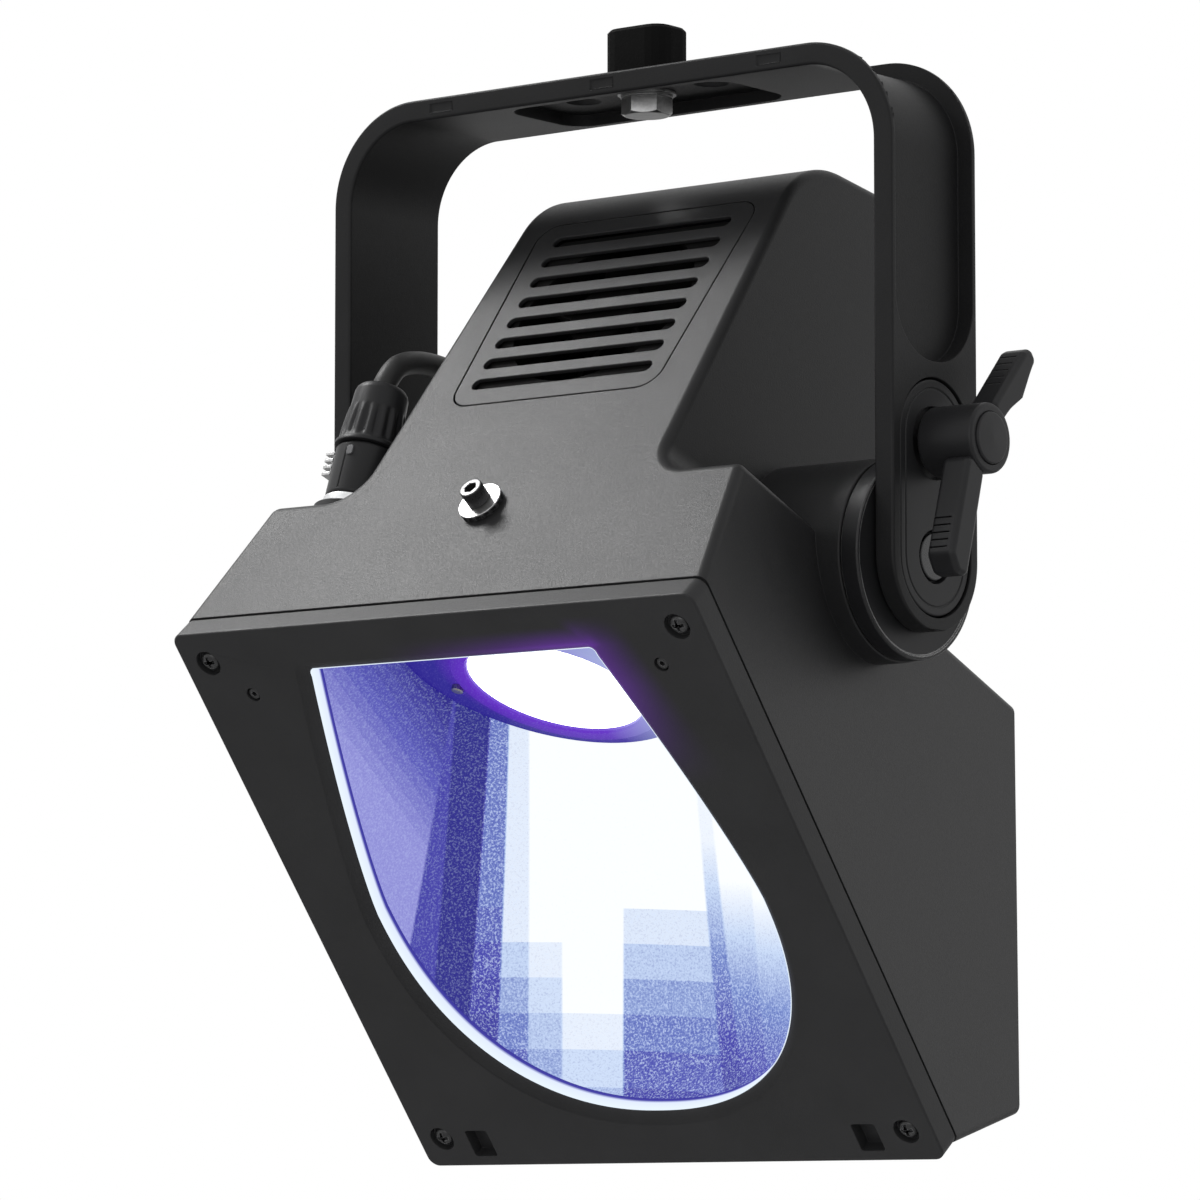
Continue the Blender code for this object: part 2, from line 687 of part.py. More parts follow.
def yoke():
    made = part("yoke", [strap(yoke_outline(), 0, YOKE_THICK)], BLACK, 0.45)
    round_edges(made, YOKE_EDGE, 1, 40)
    pocket = rounded(-POCKET_HALF_X, POCKET_HALF_X, -POCKET_HALF_Y, POCKET_HALF_Y, POCKET_CORNER_R)
    boolean(made, "bar_pocket", [prism(pocket, YOKE_BAR_Z - CUT, POCKET_FLOOR_Z)])
    boolean(made, "recesses", [leg_recess(1), leg_recess(-1)])
    holes = [prism(circle(PAN_BOLT_R + RUN), YOKE_BAR_Z, BAR_TOP_Z + CUT)]
    sink = stadium(0, PLATE_SPAN_Z, PLATE_R + PLATE_GROOVE)
    sink_floor = LEG_OUTER_X - PLATE_THICK - PLATE_SUNK - GAP
    for side in (-1, 1):
        ring = circle(BAR_HOLE_R, 24, (side * BAR_HOLE_X, 0))
        holes.append(prism(ring, YOKE_BAR_Z, BAR_TOP_Z + CUT))
        holes.append(prism(sink, sink_floor, LEG_OUTER_X + CUT, leg_frame(side)))
    boolean(made, "holes", holes)
    low = YOKE_INNER_X - CUT
    shafts = [prism(circle(PIVOT_R + RUN), low, LEG_OUTER_X, leg_frame(side)) for side in (-1, 1)]
    shafts.append(prism(stud_ring(), low, LEG_OUTER_X, ALONG_X))
    boolean(made, "shafts", shafts)
    half_x = NOTCH_LENGTH / 2
    half_z = NOTCH_HEIGHT / 2
    front = -YOKE_DEPTH / 2
    boolean(made, "marks", [
        box(x - half_x, x + half_x, front - CUT, front + NOTCH_DEPTH, NOTCH_Z - half_z, NOTCH_Z + half_z)
        for x in NOTCH_X
    ])


def stud_ring():
    """The running hole for the lever's stud."""
    return circle(STUD_R + RUN, 20, (0, LEVER_Z))


def oval_plate(side, name):
    """The plate let into a leg's outer face."""
    outer = LEG_OUTER_X - PLATE_SUNK
    low = outer - PLATE_THICK
    floor = low + PLATE_FLOOR
    place = leg_frame(side)
    full = stadium(0, PLATE_SPAN_Z, PLATE_R)
    top = stadium(0, PLATE_SPAN_Z, PLATE_R - SMALL_EDGE)
    made = part(name, [stack([(full, low), (full, outer - SMALL_EDGE), (top, outer)], place)], BLACK, 0.4)
    wells = [prism(circle(PLATE_BOLT_WELL_R), floor, outer + CUT, place)]
    shafts = [prism(circle(PIVOT_R + RUN), low - CUT, outer, place)]
    if side > 0:
        wells.append(prism(circle(PLATE_HUB_WELL_R, 32, (0, LEVER_Z)), floor, outer + CUT, place))
        shafts.append(prism(stud_ring(), low - CUT, outer, place))
    boolean(made, "wells", wells)
    boolean(made, "shafts", shafts)


def pivot_bolt(side, name):
    """The bolt each side of the head turns on."""
    place = leg_frame(side)
    low = LEG_OUTER_X - PLATE_SUNK - PLATE_THICK + PLATE_FLOOR + SEAT
    high = low + PIVOT_HEAD_THICK
    shank_end = BOSS_FACE_X - BOSS_WEB - CUT
    solid = turned([
        (PIVOT_R, shank_end), (PIVOT_R, low), (PIVOT_HEAD_R, low), (PIVOT_HEAD_R, high - SMALL_EDGE),
        (PIVOT_HEAD_R - SMALL_EDGE, high),
    ], place, 16)
    made = part(name, [solid], STEEL, 0.35, 0.8)
    boolean(made, "socket", [prism(circle(PIVOT_SOCKET_R, 6), high - PIVOT_SOCKET_DEPTH, high + CUT, place)])


def friction_disc(side, name):
    """The disc between boss and leg that the lever's shoe bears on."""
    low = DISC_INNER_X
    high = YOKE_INNER_X - DISC_TO_LEG
    bore = PIVOT_R + RUN
    rim = DISC_R - DISC_RIM
    solid = collar([
        (bore, low), (DISC_R, low), (DISC_R, high - SMALL_EDGE), (DISC_R - SMALL_EDGE, high),
        (rim, high), (rim, high - SMALL_EDGE), (bore, high - SMALL_EDGE),
    ], leg_frame(side), 36)
    part(name, [solid], STEEL, 0.4, 0.7)


# Tilt lever

LEVER = shifted(ALONG_X, 0, LEVER_Z)
LEVER_PIVOT = (0, 0, LEVER_Z)


def wing_grooves(tip, root, first, pitch):
    """The grip grooves across one wing's front side, counted from its tip."""
    run = (Vector(root) - Vector(tip)).normalized()
    inward = (run.y, -run.x, 0) if tip[1] > 0 else (-run.y, run.x, 0)
    place = LEVER @ frame((*run, 0), inward, (0, 0, 1 if tip[1] < 0 else -1), (*tip, 0))
    low = LEVER_WING_X - CUT
    high = LEVER_OUTER_X - WING_GROOVE_SHORT
    low, high = (low, high) if tip[1] < 0 else (-high, -low)
    cuts = []
    for i in range(WING_GROOVES):
        along = first + pitch * i
        cuts.append(box(
            along - WING_GROOVE_HALF, along + WING_GROOVE_HALF, -CUT, WING_GROOVE_DEPTH, low, high, place,
        ))
    return cuts


def tilt_lever():
    hub = turned([
        (LEVER_HUB_R - SMALL_EDGE, LEVER_INNER_X), (LEVER_HUB_R, LEVER_INNER_X + SMALL_EDGE),
        (LEVER_HUB_R, LEVER_OUTER_X - LEVER_EDGE), (LEVER_HUB_R - LEVER_EDGE, LEVER_OUTER_X),
    ], LEVER, 24)
    made = part("tilt_lever", [hub], BLACK, 0.5, pivot=LEVER_PIVOT)
    for label, corners in (("upper_wing", UPPER_WING), ("lower_wing", LOWER_WING)):
        outline = rounded_polygon(corners, WING_CORNER_R, 4)
        boolean(made, label, [prism(outline, LEVER_WING_X, LEVER_OUTER_X - LEVER_WING_SUNK, LEVER)], "UNION")
    grooves = wing_grooves(UPPER_WING[-1], UPPER_WING[0], *UPPER_GROOVES)
    grooves += wing_grooves(LOWER_WING[1], LOWER_WING[0], *LOWER_GROOVES)
    boolean(made, "grooves", grooves)
    cap_well = prism(circle(LEVER_CAP_R + GAP), LEVER_OUTER_X - LEVER_CAP_SUNK, LEVER_OUTER_X + CUT, LEVER)
    stud_end = LEVER_OUTER_X - STUD_IN_HUB + SMALL_EDGE
    stud_way = prism(circle(STUD_R + RUN / 2, 20), LEVER_INNER_X - CUT, stud_end, LEVER)
    boolean(made, "wells", [cap_well, stud_way])


def lever_cap():
    low = LEVER_OUTER_X - LEVER_CAP_SUNK + SEAT
    high = LEVER_OUTER_X + LEVER_CAP_PROUD
    profile = [(LEVER_CAP_R, low)] + [(LEVER_CAP_R - inset, high - down) for inset, down in LEVER_CAP_EDGE]
    part("lever_cap", [turned(profile, LEVER)], (0.05, 0.05, 0.055), 0.35, pivot=LEVER_PIVOT)


def lever_stud():
    low = DISC_INNER_X + GAP
    solid = turned([(STUD_R, low), (STUD_R, LEVER_OUTER_X - STUD_IN_HUB)], LEVER, 20)
    part("lever_stud", [solid], STEEL, 0.35, 0.8, pivot=LEVER_PIVOT)


def brake_shoe():
    """The block above the right friction disc, which the stud draws down on the rim."""
    half = SHOE_WIDTH / 2
    low = DISC_INNER_X + GAP
    high = YOKE_INNER_X - GAP
    outline = rounded(-half, half, SHOE_LOW_Z, SHOE_TOP_Z, 0.003)
    made = part("brake_shoe", [prism(outline, low, high, ALONG_X)], STEEL, 0.5, 0.6)
    boolean(made, "rim", [prism(circle(DISC_R + GAP, 72), low - CUT, high + CUT, ALONG_X)])
    boolean(made, "stud", [prism(stud_ring(), low - CUT, high + CUT, ALONG_X)])


# Bezel

def window_half():
    """The right half of the window outline, from bottom centre to top centre."""
    points = []
    for i in range(15):
        turn = math.radians(90 * i / 14)
        x = WINDOW_HALF * math.sin(turn) ** (2 / WINDOW_POWER)
        rise = (WINDOW_BOTTOM_V - WINDOW_SIDE_V) * math.cos(turn) ** (2 / WINDOW_POWER)
        points.append((x, WINDOW_SIDE_V + rise))
    corner_v = WINDOW_TOP_V + WINDOW_CORNER_R
    for i in range(1, 6):
        share = i / 5
        x = WINDOW_HALF - WINDOW_SIDE_DROP * share**WINDOW_SIDE_POWER
        points.append((x, WINDOW_SIDE_V + (corner_v - WINDOW_SIDE_V) * share))
    flat_x = points[-1][0] - WINDOW_CORNER_R
    points += arc((flat_x, corner_v), WINDOW_CORNER_R, 0, -math.pi / 2, 4)[1:]
    points += [(flat_x * (1 - i / 3), WINDOW_TOP_V) for i in range(1, 3)]
    return points


def window_outline(inset=0.0):
    """The whole window outline, drawn in by an inset (negative for outwards)."""
    right = window_half()
    ring = right + [(0, WINDOW_TOP_V)] + [(-x, v) for x, v in reversed(right[1:])]
    ring.reverse()
    count = len(ring)
    moved = []
    for i, (x, v) in enumerate(ring):
        before = ring[i - 1]
        after = ring[(i + 1) % count]
        run = Vector((after[0] - before[0], after[1] - before[1])).normalized()
        moved.append((x - run.y * inset, v + run.x * inset))
    return moved


def face_prism(outline, low, high):
    return prism(outline, low, high, FACE)


def face_points():
    """The four corner screw centres on the bezel."""
    return [(x, v) for v in (-SCREW_V, SCREW_V) for x in (-SCREW_X, SCREW_X)]


def bezel():
    half_w = BEZEL_W / 2
    half_h = BEZEL_H / 2
    edge = BEZEL_EDGE
    front = rounded(edge - half_w, half_w - edge, edge - half_h, half_h - edge, BEZEL_CORNER_R - edge)
    full = rounded(-half_w, half_w, -half_h, half_h, BEZEL_CORNER_R)
    made = part("bezel", [stack([(front, 0), (full, edge), (full, BEZEL_THICK)], FACE)], BLACK, 0.5)
    slope = WINDOW_BEVEL / WINDOW_BEVEL_DEPTH
    window = stack([
        (window_outline(-CUT * slope), -CUT),
        (window_outline(WINDOW_BEVEL), WINDOW_BEVEL_DEPTH),
        (window_outline(WINDOW_BEVEL), BEZEL_THICK + CUT),
    ], FACE)
    boolean(made, "window", [window])
    wells = [face_prism(circle(SCREW_WELL_R, 24, at), -CUT, SCREW_WELL_DEPTH) for at in face_points()]
    for x in (-SET_SCREW_X, SET_SCREW_X):
        ring = circle(SET_SCREW_R + GAP, 16, (x, SET_SCREW_V))
        wells.append(face_prism(ring, -CUT, SET_SCREW_END + STACK_GAP))
    for x in (-SQUARE_X, SQUARE_X):
        half_x = SQUARE_W / 2
        half_v = SQUARE_H / 2
        hole = rounded(x - half_x, x + half_x, SQUARE_V - half_v, SQUARE_V + half_v, 0.001, 2)
        wells.append(face_prism(hole, -CUT, SQUARE_DEPTH))
    boolean(made, "wells", wells)
    shaft_low = SCREW_WELL_DEPTH - SMALL_EDGE
    boolean(made, "shafts", [
        face_prism(circle(SCREW_SHANK_R + RUN, 16, at), shaft_low, BEZEL_THICK + CUT) for at in face_points()
    ])


def cross_recess(made, size, low, high, place):
    """Cuts the crossed slots of a screw head between two levels."""
    half = size * 0.17
    arm = size * 0.62
    boolean(made, "slot_a", [box(-arm, arm, -half, half, low, high, place)])
    boolean(made, "slot_b", [box(-half, half, -arm, arm, low, high, place)])


def bezel_screws():
    rim = SCREW_WELL_DEPTH - SEAT
    for letter, at in zip("abcd", face_points()):
        place = shifted(FACE, *at)
        dome = [(SCREW_HEAD_R * share, rim - high) for share, high in SCREW_DOME]
        shank = [(SCREW_SHANK_R, rim), (SCREW_SHANK_R, SCREW_LENGTH)]
        made = part(f"bezel_screw_{letter}", [turned(dome + shank, place, 12)], STEEL, 0.3, 0.9)
        cross_recess(made, SCREW_HEAD_R, rim - SCREW_SLOT_LEVELS[0], rim - SCREW_SLOT_LEVELS[1], place)


def set_screws():
    for name, x in (("set_screw_left", -SET_SCREW_X), ("set_screw_right", SET_SCREW_X)):
        place = shifted(FACE, x, SET_SCREW_V)
        solid = turned([(SET_SCREW_R, SET_SCREW_SUNK), (SET_SCREW_R, SET_SCREW_END)], place, 16)
        made = part(name, [solid], STEEL, 0.35, 0.8)
        boolean(made, "socket", [prism(circle(SET_SOCKET_R, 6), -CUT, SET_SCREW_END / 2, place)])


# Housing

def face_depth(y, z):
    """How far behind the bezel's front face a side-view point lies."""
    return (Vector((0, y, z)) - Vector(FACE_CENTRE)).dot(FACE_IN)


def box_half(y, z, inset=0.0):
    """Half the lamp box's width at a side-view point."""
    return BEZEL_W / 2 - SIDE_TAPER * (face_depth(y, z) - BEZEL_THICK) - inset


def ledge_height(y, z):
    """Height of a side-view point above the ledge plane."""
    return (LEDGE.inverted() @ Vector((0, y, z))).z


def neck_half(height):
    return NECK_HALF - NECK_TAPER * height


def slope_at(height):
    """The side-view point of the slope at a height above the ledge plane."""
    rise = Vector((0, *SHOULDER)) + SLOPE_UP * (height / math.sin(SLOPE_RISE + LEDGE_FALL))
    return rise.y, rise.z


def back_at(height):
    """The side-view point of the neck's back at a height above the ledge plane."""
    along = (NECK_BACK_Y - SHOULDER[0] - height * math.sin(LEDGE_FALL)) / math.cos(LEDGE_FALL)
    point = LEDGE @ Vector((0, along, height))
    return point.y, point.z


TOP_CENTRE = (
    SLOPE_TOP[0] + TOP_ARC_R * math.sin(SLOPE_RISE),
    SLOPE_TOP[1] - TOP_ARC_R * math.cos(SLOPE_RISE),
)


def top_line():
    """Side-view points over the top of the neck, front to back."""
    points = arc(TOP_CENTRE, TOP_ARC_R, math.pi / 2 + SLOPE_RISE, math.pi / 2 - TOP_FALL, 10)
    last_y, last_z = points[-1]
    points.append((NECK_BACK_Y, last_z - (NECK_BACK_Y - last_y) * math.tan(TOP_FALL)))
    return points


def back_opening_z():
    """The opening in the neck's back, set off from the ledge below it and the top above it."""
    return back_at(0)[1] + BACK_OPENING_RISE, top_line()[-1][1] - BACK_OPENING_DROP


BACK_OPENING_Z = back_opening_z()
COVER_LOW_Z = BACK_OPENING_Z[0] - COVER_LAP_LOW
COVER_HIGH_Z = BACK_OPENING_Z[1] + COVER_LAP_HIGH
DISPLAY_Z = BACK_OPENING_Z[1] - DISPLAY_DROP
BUTTON_Z = DISPLAY_Z - BUTTON_DROP
SOCKET_Z = BACK_OPENING_Z[0] + SOCKET_RISE
BOARD_Z = (BUTTON_Z - BOARD_LAP_LOW, DISPLAY_Z + BOARD_LAP_HIGH)


def fillet_section():
    """The (half width, height) points where the neck's side runs out into the ledge."""
    centre_x = NECK_HALF + NECK_FILLET_R
    points = arc((centre_x, NECK_FILLET_R), NECK_FILLET_R, -math.pi / 2, -math.pi, 6)
    lean = neck_half(NECK_FILLET_R) - NECK_HALF
    return [(x + lean * i / 6, height) for i, (x, height) in enumerate(points)]


def housing_shell():
    """The plain outer body as planar faces: lamp box, ledge, filleted neck and rounded top."""
    points = []
    faces = []
    lookup = {}

    def corner(x, place):
        key = (round(x, 8), round(place[0], 8), round(place[1], 8))
        if key not in lookup:
            lookup[key] = len(points)
            points.append(Vector((x, *place)))
        return lookup[key]

    front_top = FACE_REAR_TOP - SLOPE_UP * 0.010
    bottom_run = (Vector((0, *BACK_LOW)) - FACE_REAR_LOW).normalized()
    front_low = FACE_REAR_LOW - bottom_run * 0.010
    a = (front_top.y, front_top.z)
    b = (front_low.y, front_low.z)
    section = fillet_section()
    crest = top_line()
    slope_rim = {}
    back_rim = {}
    for side in (-1, 1):
        box_ring = [corner(side * box_half(*p), p) for p in (a, SHOULDER, BACK_TOP, BACK_LOW, b)]
        faces.append(tuple(box_ring))
        slope_row = [corner(side * x, slope_at(height)) for x, height in section]
        back_row = [corner(side * x, back_at(height)) for x, height in section]
        for i in range(len(section) - 1):
            faces.append((slope_row[i], slope_row[i + 1], back_row[i + 1], back_row[i]))
        crest_row = [corner(side * neck_half(ledge_height(*p)), p) for p in crest]
        faces.append((slope_row[-1], *crest_row, back_row[-1]))
        slope_rim[side] = (box_ring, slope_row, crest_row)
        back_rim[side] = (box_ring, back_row, crest_row)
    left, right = slope_rim[-1], slope_rim[1]
    slope_right = (right[0][0], right[0][1], *right[1], right[2][0])
    slope_left = (left[2][0], *reversed(left[1]), left[0][1], left[0][0])
    faces.append(slope_right + slope_left)
    for i in range(len(crest) - 1):
        faces.append((right[2][i], right[2][i + 1], left[2][i + 1], left[2][i]))
    left, right = back_rim[-1], back_rim[1]
    faces.append((*right[1], right[2][-1], left[2][-1], *reversed(left[1])))
    ledge_right = (right[0][1], slope_rim[1][1][0], right[1][0])
    ledge_left = (left[1][0], slope_rim[-1][1][0], left[0][1], left[0][2])
    faces.append((*ledge_right, *ledge_left, right[0][2]))
    faces.append((right[0][2], left[0][2], left[0][3], right[0][3]))
    faces.append((right[0][3], left[0][3], left[0][4], right[0][4]))
    faces.append((right[0][4], left[0][4], left[0][0], right[0][0]))
    return points, faces


def inset_line(first, second, away):
    """A side-view line moved sideways: returns a point on it and its direction."""
    run = Vector((second[0] - first[0], second[1] - first[1])).normalized()
    return Vector(first) + Vector((run.y, -run.x)) * away, run


def meet(one, two):
    """Where two side-view lines cross."""
    (p, d), (q, e) = one, two
    share = ((q.x - p.x) * e.y - (q.y - p.y) * e.x) / (d.x * e.y - d.y * e.x)
    return p + d * share


def lamp_cavity():
    """The hollow of the lamp box, open at the bezel."""
    a = FACE_REAR_TOP - SLOPE_UP * 0.020
    bottom_run = (Vector((0, *BACK_LOW)) - FACE_REAR_LOW).normalized()
    b = FACE_REAR_LOW - bottom_run * 0.020
    ring = [(a.y, a.z), SHOULDER, BACK_TOP, BACK_LOW, (b.y, b.z)]
    sides = [inset_line(ring[i], ring[i + 1], WALL) for i in range(4)]
    inner = [
        sides[0][0], meet(sides[0], sides[1]), meet(sides[1], sides[2]), meet(sides[2], sides[3]),
        sides[3][0] + Vector(ring[4]) - Vector(ring[3]),
    ]
    rings = [[(side * box_half(p.x, p.y, WALL), p.x, p.y) for p in inner] for side in (-1, 1)]
    return loft(rings)


def neck_cavity():
    """The hollow of the neck, which runs down into the lamp box."""
    crest = [Vector(p) for p in top_line()]
    start = inset_line((FACE_REAR_TOP.y, FACE_REAR_TOP.z), SLOPE_TOP, WALL)[0]
    centre = Vector(TOP_CENTRE)
    roof = [centre + (p - centre).normalized() * (TOP_ARC_R - WALL) for p in crest[:-1]]
    back = NECK_BACK_Y - WALL
    last = roof[-1]
    roof.append(Vector((back, last.y - (back - last.x) * math.tan(TOP_FALL))))
    low = start + Vector((SLOPE_UP.y, SLOPE_UP.z)) * 0.040
    floor = [Vector((back, -0.060)), Vector((-0.060, -0.010))]
    outline = [low, *roof, *floor]
    return loft([[(side * NECK_CAVITY_HALF, p.x, p.y) for p in outline] for side in (-1, 1)])


def front_trim():
    """Everything ahead of the bezel's rear plane."""
    return box(-0.2, 0.2, -0.2, 0.2, -0.05, BEZEL_THICK + GAP, FACE)


def corner_posts():
    """Blocks behind the bezel's corners that its screws bite in, still long at the front."""
    posts = []
    low = BEZEL_THICK - CUT
    for x_side in (-1, 1):
        for v_side in (-1, 1):
            xs = sorted((x_side * (SCREW_X - POST_IN), x_side * (SCREW_X + POST_OUT_X)))
            vs = sorted((v_side * (SCREW_V - POST_IN), v_side * (SCREW_V + POST_OUT_V)))
            posts.append(box(*xs, *vs, low, POST_DEPTH, FACE))
    return posts


def pivot_bosses():
    """The round bosses that carry the head on the pivot bolts."""
    bosses = []
    for side in (-1, 1):
        bosses.append(turned([
            (BOSS_R, BOSS_INNER_X), (BOSS_R, BOSS_FACE_X - BOSS_EDGE), (BOSS_R - BOSS_EDGE, BOSS_FACE_X),
        ], leg_frame(side), 48))
    return bosses


def boss_hollows():
    """The cups behind the boss faces, and the running holes for the bolts."""
    cups = []
    holes = []
    for side in (-1, 1):
        place = leg_frame(side)
        web = BOSS_FACE_X - BOSS_WEB
        cups.append(prism(circle(BOSS_HOLLOW_R), BOSS_INNER_X - 2 * CUT, web, place))
        holes.append(prism(circle(PIVOT_R + RUN), web - CUT, BOSS_FACE_X + CUT, place))
    return cups, holes


def vent_outline(grow=0.0):
    corners = [
        (-VENT_LOW_HALF - grow, VENT_LOW_S - grow), (VENT_LOW_HALF + grow, VENT_LOW_S - grow),
        (VENT_HIGH_HALF + grow, VENT_HIGH_S + grow), (-VENT_HIGH_HALF - grow, VENT_HIGH_S + grow),
    ]
    return rounded_polygon(corners, VENT_CORNER_R + grow)


def gland_frame():
    """Third axis out of the gland, along the lead."""
    out = Vector((-math.sin(GLAND_TURN), -math.cos(GLAND_TURN), 0))
    up = Vector((0, 0, 1))
    return frame(up.cross(out), up, out, GLAND_WALL)


def connector_frame():
    return shifted(LEDGE, CONNECTOR_X, CONNECTOR_S)


def housing():
    made = part("housing", [housing_shell()], BLACK, 0.5, sharp=25)
    round_edges(made, HOUSING_EDGE, 2, 32)
    boolean(made, "lamp_cavity", [lamp_cavity()])
    boolean(made, "neck_cavity", [neck_cavity()])
    boolean(made, "bosses", pivot_bosses(), "UNION")
    boolean(made, "posts", corner_posts(), "UNION")
    boolean(made, "front", [front_trim()])
    pad = [(PAD_R, -PAD_SUNK), (PAD_R, PAD_HIGH - SMALL_EDGE), (PAD_R - SMALL_EDGE, PAD_HIGH)]
    boolean(made, "pad", [turned(pad, connector_frame())], "UNION")
    boss = turned([
        (GLAND_BOSS_R, -GLAND_SUNK), (GLAND_BOSS_R, GLAND_BOSS - BOSS_EDGE), (GLAND_BOSS_R - BOSS_EDGE, GLAND_BOSS),
    ], gland_frame())
    boolean(made, "gland_boss", [boss], "UNION")
    cups, holes = boss_hollows()
    boolean(made, "cups", cups)
    screw_ring = SCREW_SHANK_R + RUN / 2
    screw_low = BEZEL_THICK - CUT
    screw_end = SCREW_LENGTH + SMALL_EDGE
    holes += [face_prism(circle(screw_ring, 16, at), screw_low, screw_end) for at in face_points()]
    holes.append(prism(circle(EARTH_SHANK_R + RUN, 16, (EARTH_X, EARTH_S)), -DEEP_CUT, CUT, SLOPE))
    holes.append(prism(circle(CONNECTOR_BORE_R, 20), -DEEP_CUT, PAD_HIGH + CUT, connector_frame()))
    holes.append(prism(circle(GLAND_BORE_R, 20), -DEEP_CUT, GLAND_BOSS + CUT, gland_frame()))
    boolean(made, "holes", holes)
    boolean(made, "vent_seat", [prism(vent_outline(VENT_GROOVE), -VENT_THICK - GAP, CUT, SLOPE)])
    boolean(made, "vent_way", [prism(vent_outline(-VENT_LEDGE), -DEEP_CUT, 0.0, SLOPE)])
    half = BACK_OPENING_HALF
    opening = rounded(-half, half, *BACK_OPENING_Z, BACK_OPENING_R)
    back_low = NECK_BACK_Y - DEEP_CUT
    back_high = NECK_BACK_Y + CUT
    boolean(made, "back_way", [prism(opening, back_low, back_high, REAR)])
    cover_ring = COVER_SCREW_R + RUN / 2
    boolean(made, "cover_holes", [
        prism(circle(cover_ring, 12, (-x, z)), back_low, back_high, REAR) for x, z in cover_screw_points()
    ])


def vent_panel():
    made = part("vent_panel", [prism(vent_outline(), -VENT_THICK, 0, SLOPE)], BLACK, 0.45)
    half = VENT_SLOT_WIDTH / 2
    slots = []
    for i in range(VENT_SLOTS):
        s = VENT_TOP_SLOT_S - i * VENT_PITCH
        ring = rounded(-VENT_SLOT_HALF, VENT_SLOT_HALF, s - half, s + half, half * 0.98, 4)
        slots.append(prism(ring, -VENT_THICK - CUT, CUT, SLOPE))
    boolean(made, "slots", slots)


def earth_screw():
    """The socket screw on the slope and its toothed washer."""
    place = shifted(SLOPE, EARTH_X, EARTH_S)
    low = GAP
    high = low + EARTH_WASHER_THICK
    teeth = [
        (x * share, y * share)
        for share, (x, y) in zip((0.93, 1.0) * EARTH_TEETH, circle(EARTH_WASHER_R, 2 * EARTH_TEETH))
    ]
    made = part("earth_washer", [prism(teeth, low, high, place)], ZINC, 0.3, 0.9)
    boolean(made, "bore", [prism(circle(EARTH_SHANK_R + GAP, 16), low - CUT, high + CUT, place)])
    seat = high + SEAT
    top = seat + EARTH_HEAD_HEIGHT
    profile = [
        (EARTH_SHANK_R, -2 * WALL), (EARTH_SHANK_R, seat), (EARTH_HEAD_R, seat),
        (EARTH_HEAD_R, top - SMALL_EDGE), (EARTH_HEAD_R - SMALL_EDGE, top),
    ]
    screw = part("earth_screw", [turned(profile, place, 20)], STEEL, 0.3, 0.9)
    boolean(screw, "socket", [prism(circle(EARTH_SOCKET_R, 6), seat + EARTH_HEAD_HEIGHT / 2, top + CUT, place)])


# Lamp

def reflector_rows():
    """The inner surface as rows of points, from the window rim up to the ceiling."""
    rim = window_outline(WINDOW_BEVEL - 0.001)
    depth = BEZEL_THICK + GAP
    rows = [[] for _ in range(REFLECTOR_STEPS + 1)]
    for x, v in rim:
        turn = math.atan2(v, x)
        deep = (1 + math.sin(turn)) / 2
        start = FACE @ Vector((x, v, depth))
        end = LAMP @ Vector((CEILING_R * math.cos(turn), CEILING_SHIFT + CEILING_R * math.sin(turn), 0))
        lift = FACE_IN * (0.003 + 0.040 * deep)
        flare = RIGHT * (0.012 * math.cos(turn)) + FACE_DOWN * (0.056 * deep) + FACE_IN * (0.010 * deep)
        for step, row in enumerate(rows):
            t = step / REFLECTOR_STEPS
            point = start * (1 - t) ** 3 + (start + lift) * 3 * t * (1 - t) ** 2
            point += (end + flare) * 3 * t * t * (1 - t) + end * t**3
            row.append(point)
    return rows


def grow_rows(rows, thickness):
    """The rows pushed outwards by a wall thickness."""
    count = len(rows[0])
    grown = []
    for k, row in enumerate(rows):
        below = rows[max(k - 1, 0)]
        above = rows[min(k + 1, len(rows) - 1)]
        grown.append([
            point + (row[(i + 1) % count] - row[i - 1]).cross(above[i] - below[i]).normalized() * thickness
            for i, point in enumerate(row)
        ])
    return grown


def strip(sections):
    """A length of sheet from like cross-sections, closed at both ends across its thickness."""
    points, faces = loft(sections, closed_ends=False)
    size = len(sections[0])
    for start in (0, (len(sections) - 1) * size):
        faces += [
            (start + k, start + k + 1, start + size - 2 - k, start + size - 1 - k) for k in range(size // 2 - 1)
        ]
    return points, faces


def reflector():
    """Four sheets round the bowl, each a little short of its neighbours."""
    rows = reflector_rows()
    outside = grow_rows(rows, REFLECTOR_WALL)
    middle = sum(rows[0], Vector()) / len(rows[0])
    if (outside[3][0] - middle).length < (rows[3][0] - middle).length:
        outside = grow_rows(rows, -REFLECTOR_WALL)
    depth = BEZEL_THICK + GAP
    flange = window_outline(WINDOW_BEVEL - REFLECTOR_FLANGE)
    flange_front = [FACE @ Vector((x, v, depth)) for x, v in flange]
    flange_back = [FACE @ Vector((x, v, depth + REFLECTOR_WALL)) for x, v in flange]
    outside[0] = [
        p + (FACE_IN + (q - p).normalized()) * REFLECTOR_WALL for p, q in zip(rows[0], flange_front)
    ]
    sections = [list(section) for section in zip(*reversed(rows), flange_front, flange_back, *outside)]
    turns = [math.degrees(math.atan2(v, x)) % 360 for x, v in window_outline(WINDOW_BEVEL - 0.001)]
    edges = [min(range(len(turns)), key=lambda i, seam=seam: abs(turns[i] - seam)) for seam in SHEET_SEAMS]
    for word, first, last in zip(SHEET_WORDS, edges, edges[1:] + edges[:1]):
        count = (last - first) % len(sections)
        kept = [sections[(first + i) % len(sections)] for i in range(count + 1)]
        for end, inner in ((0, 1), (-1, -2)):
            kept[end] = [p + (q - p).normalized() * GAP / 2 for p, q in zip(kept[end], kept[inner])]
        part(f"reflector_{word}", [strip(kept)], (0.8, 0.82, 0.85), 0.3, 0.6, sharp=3)


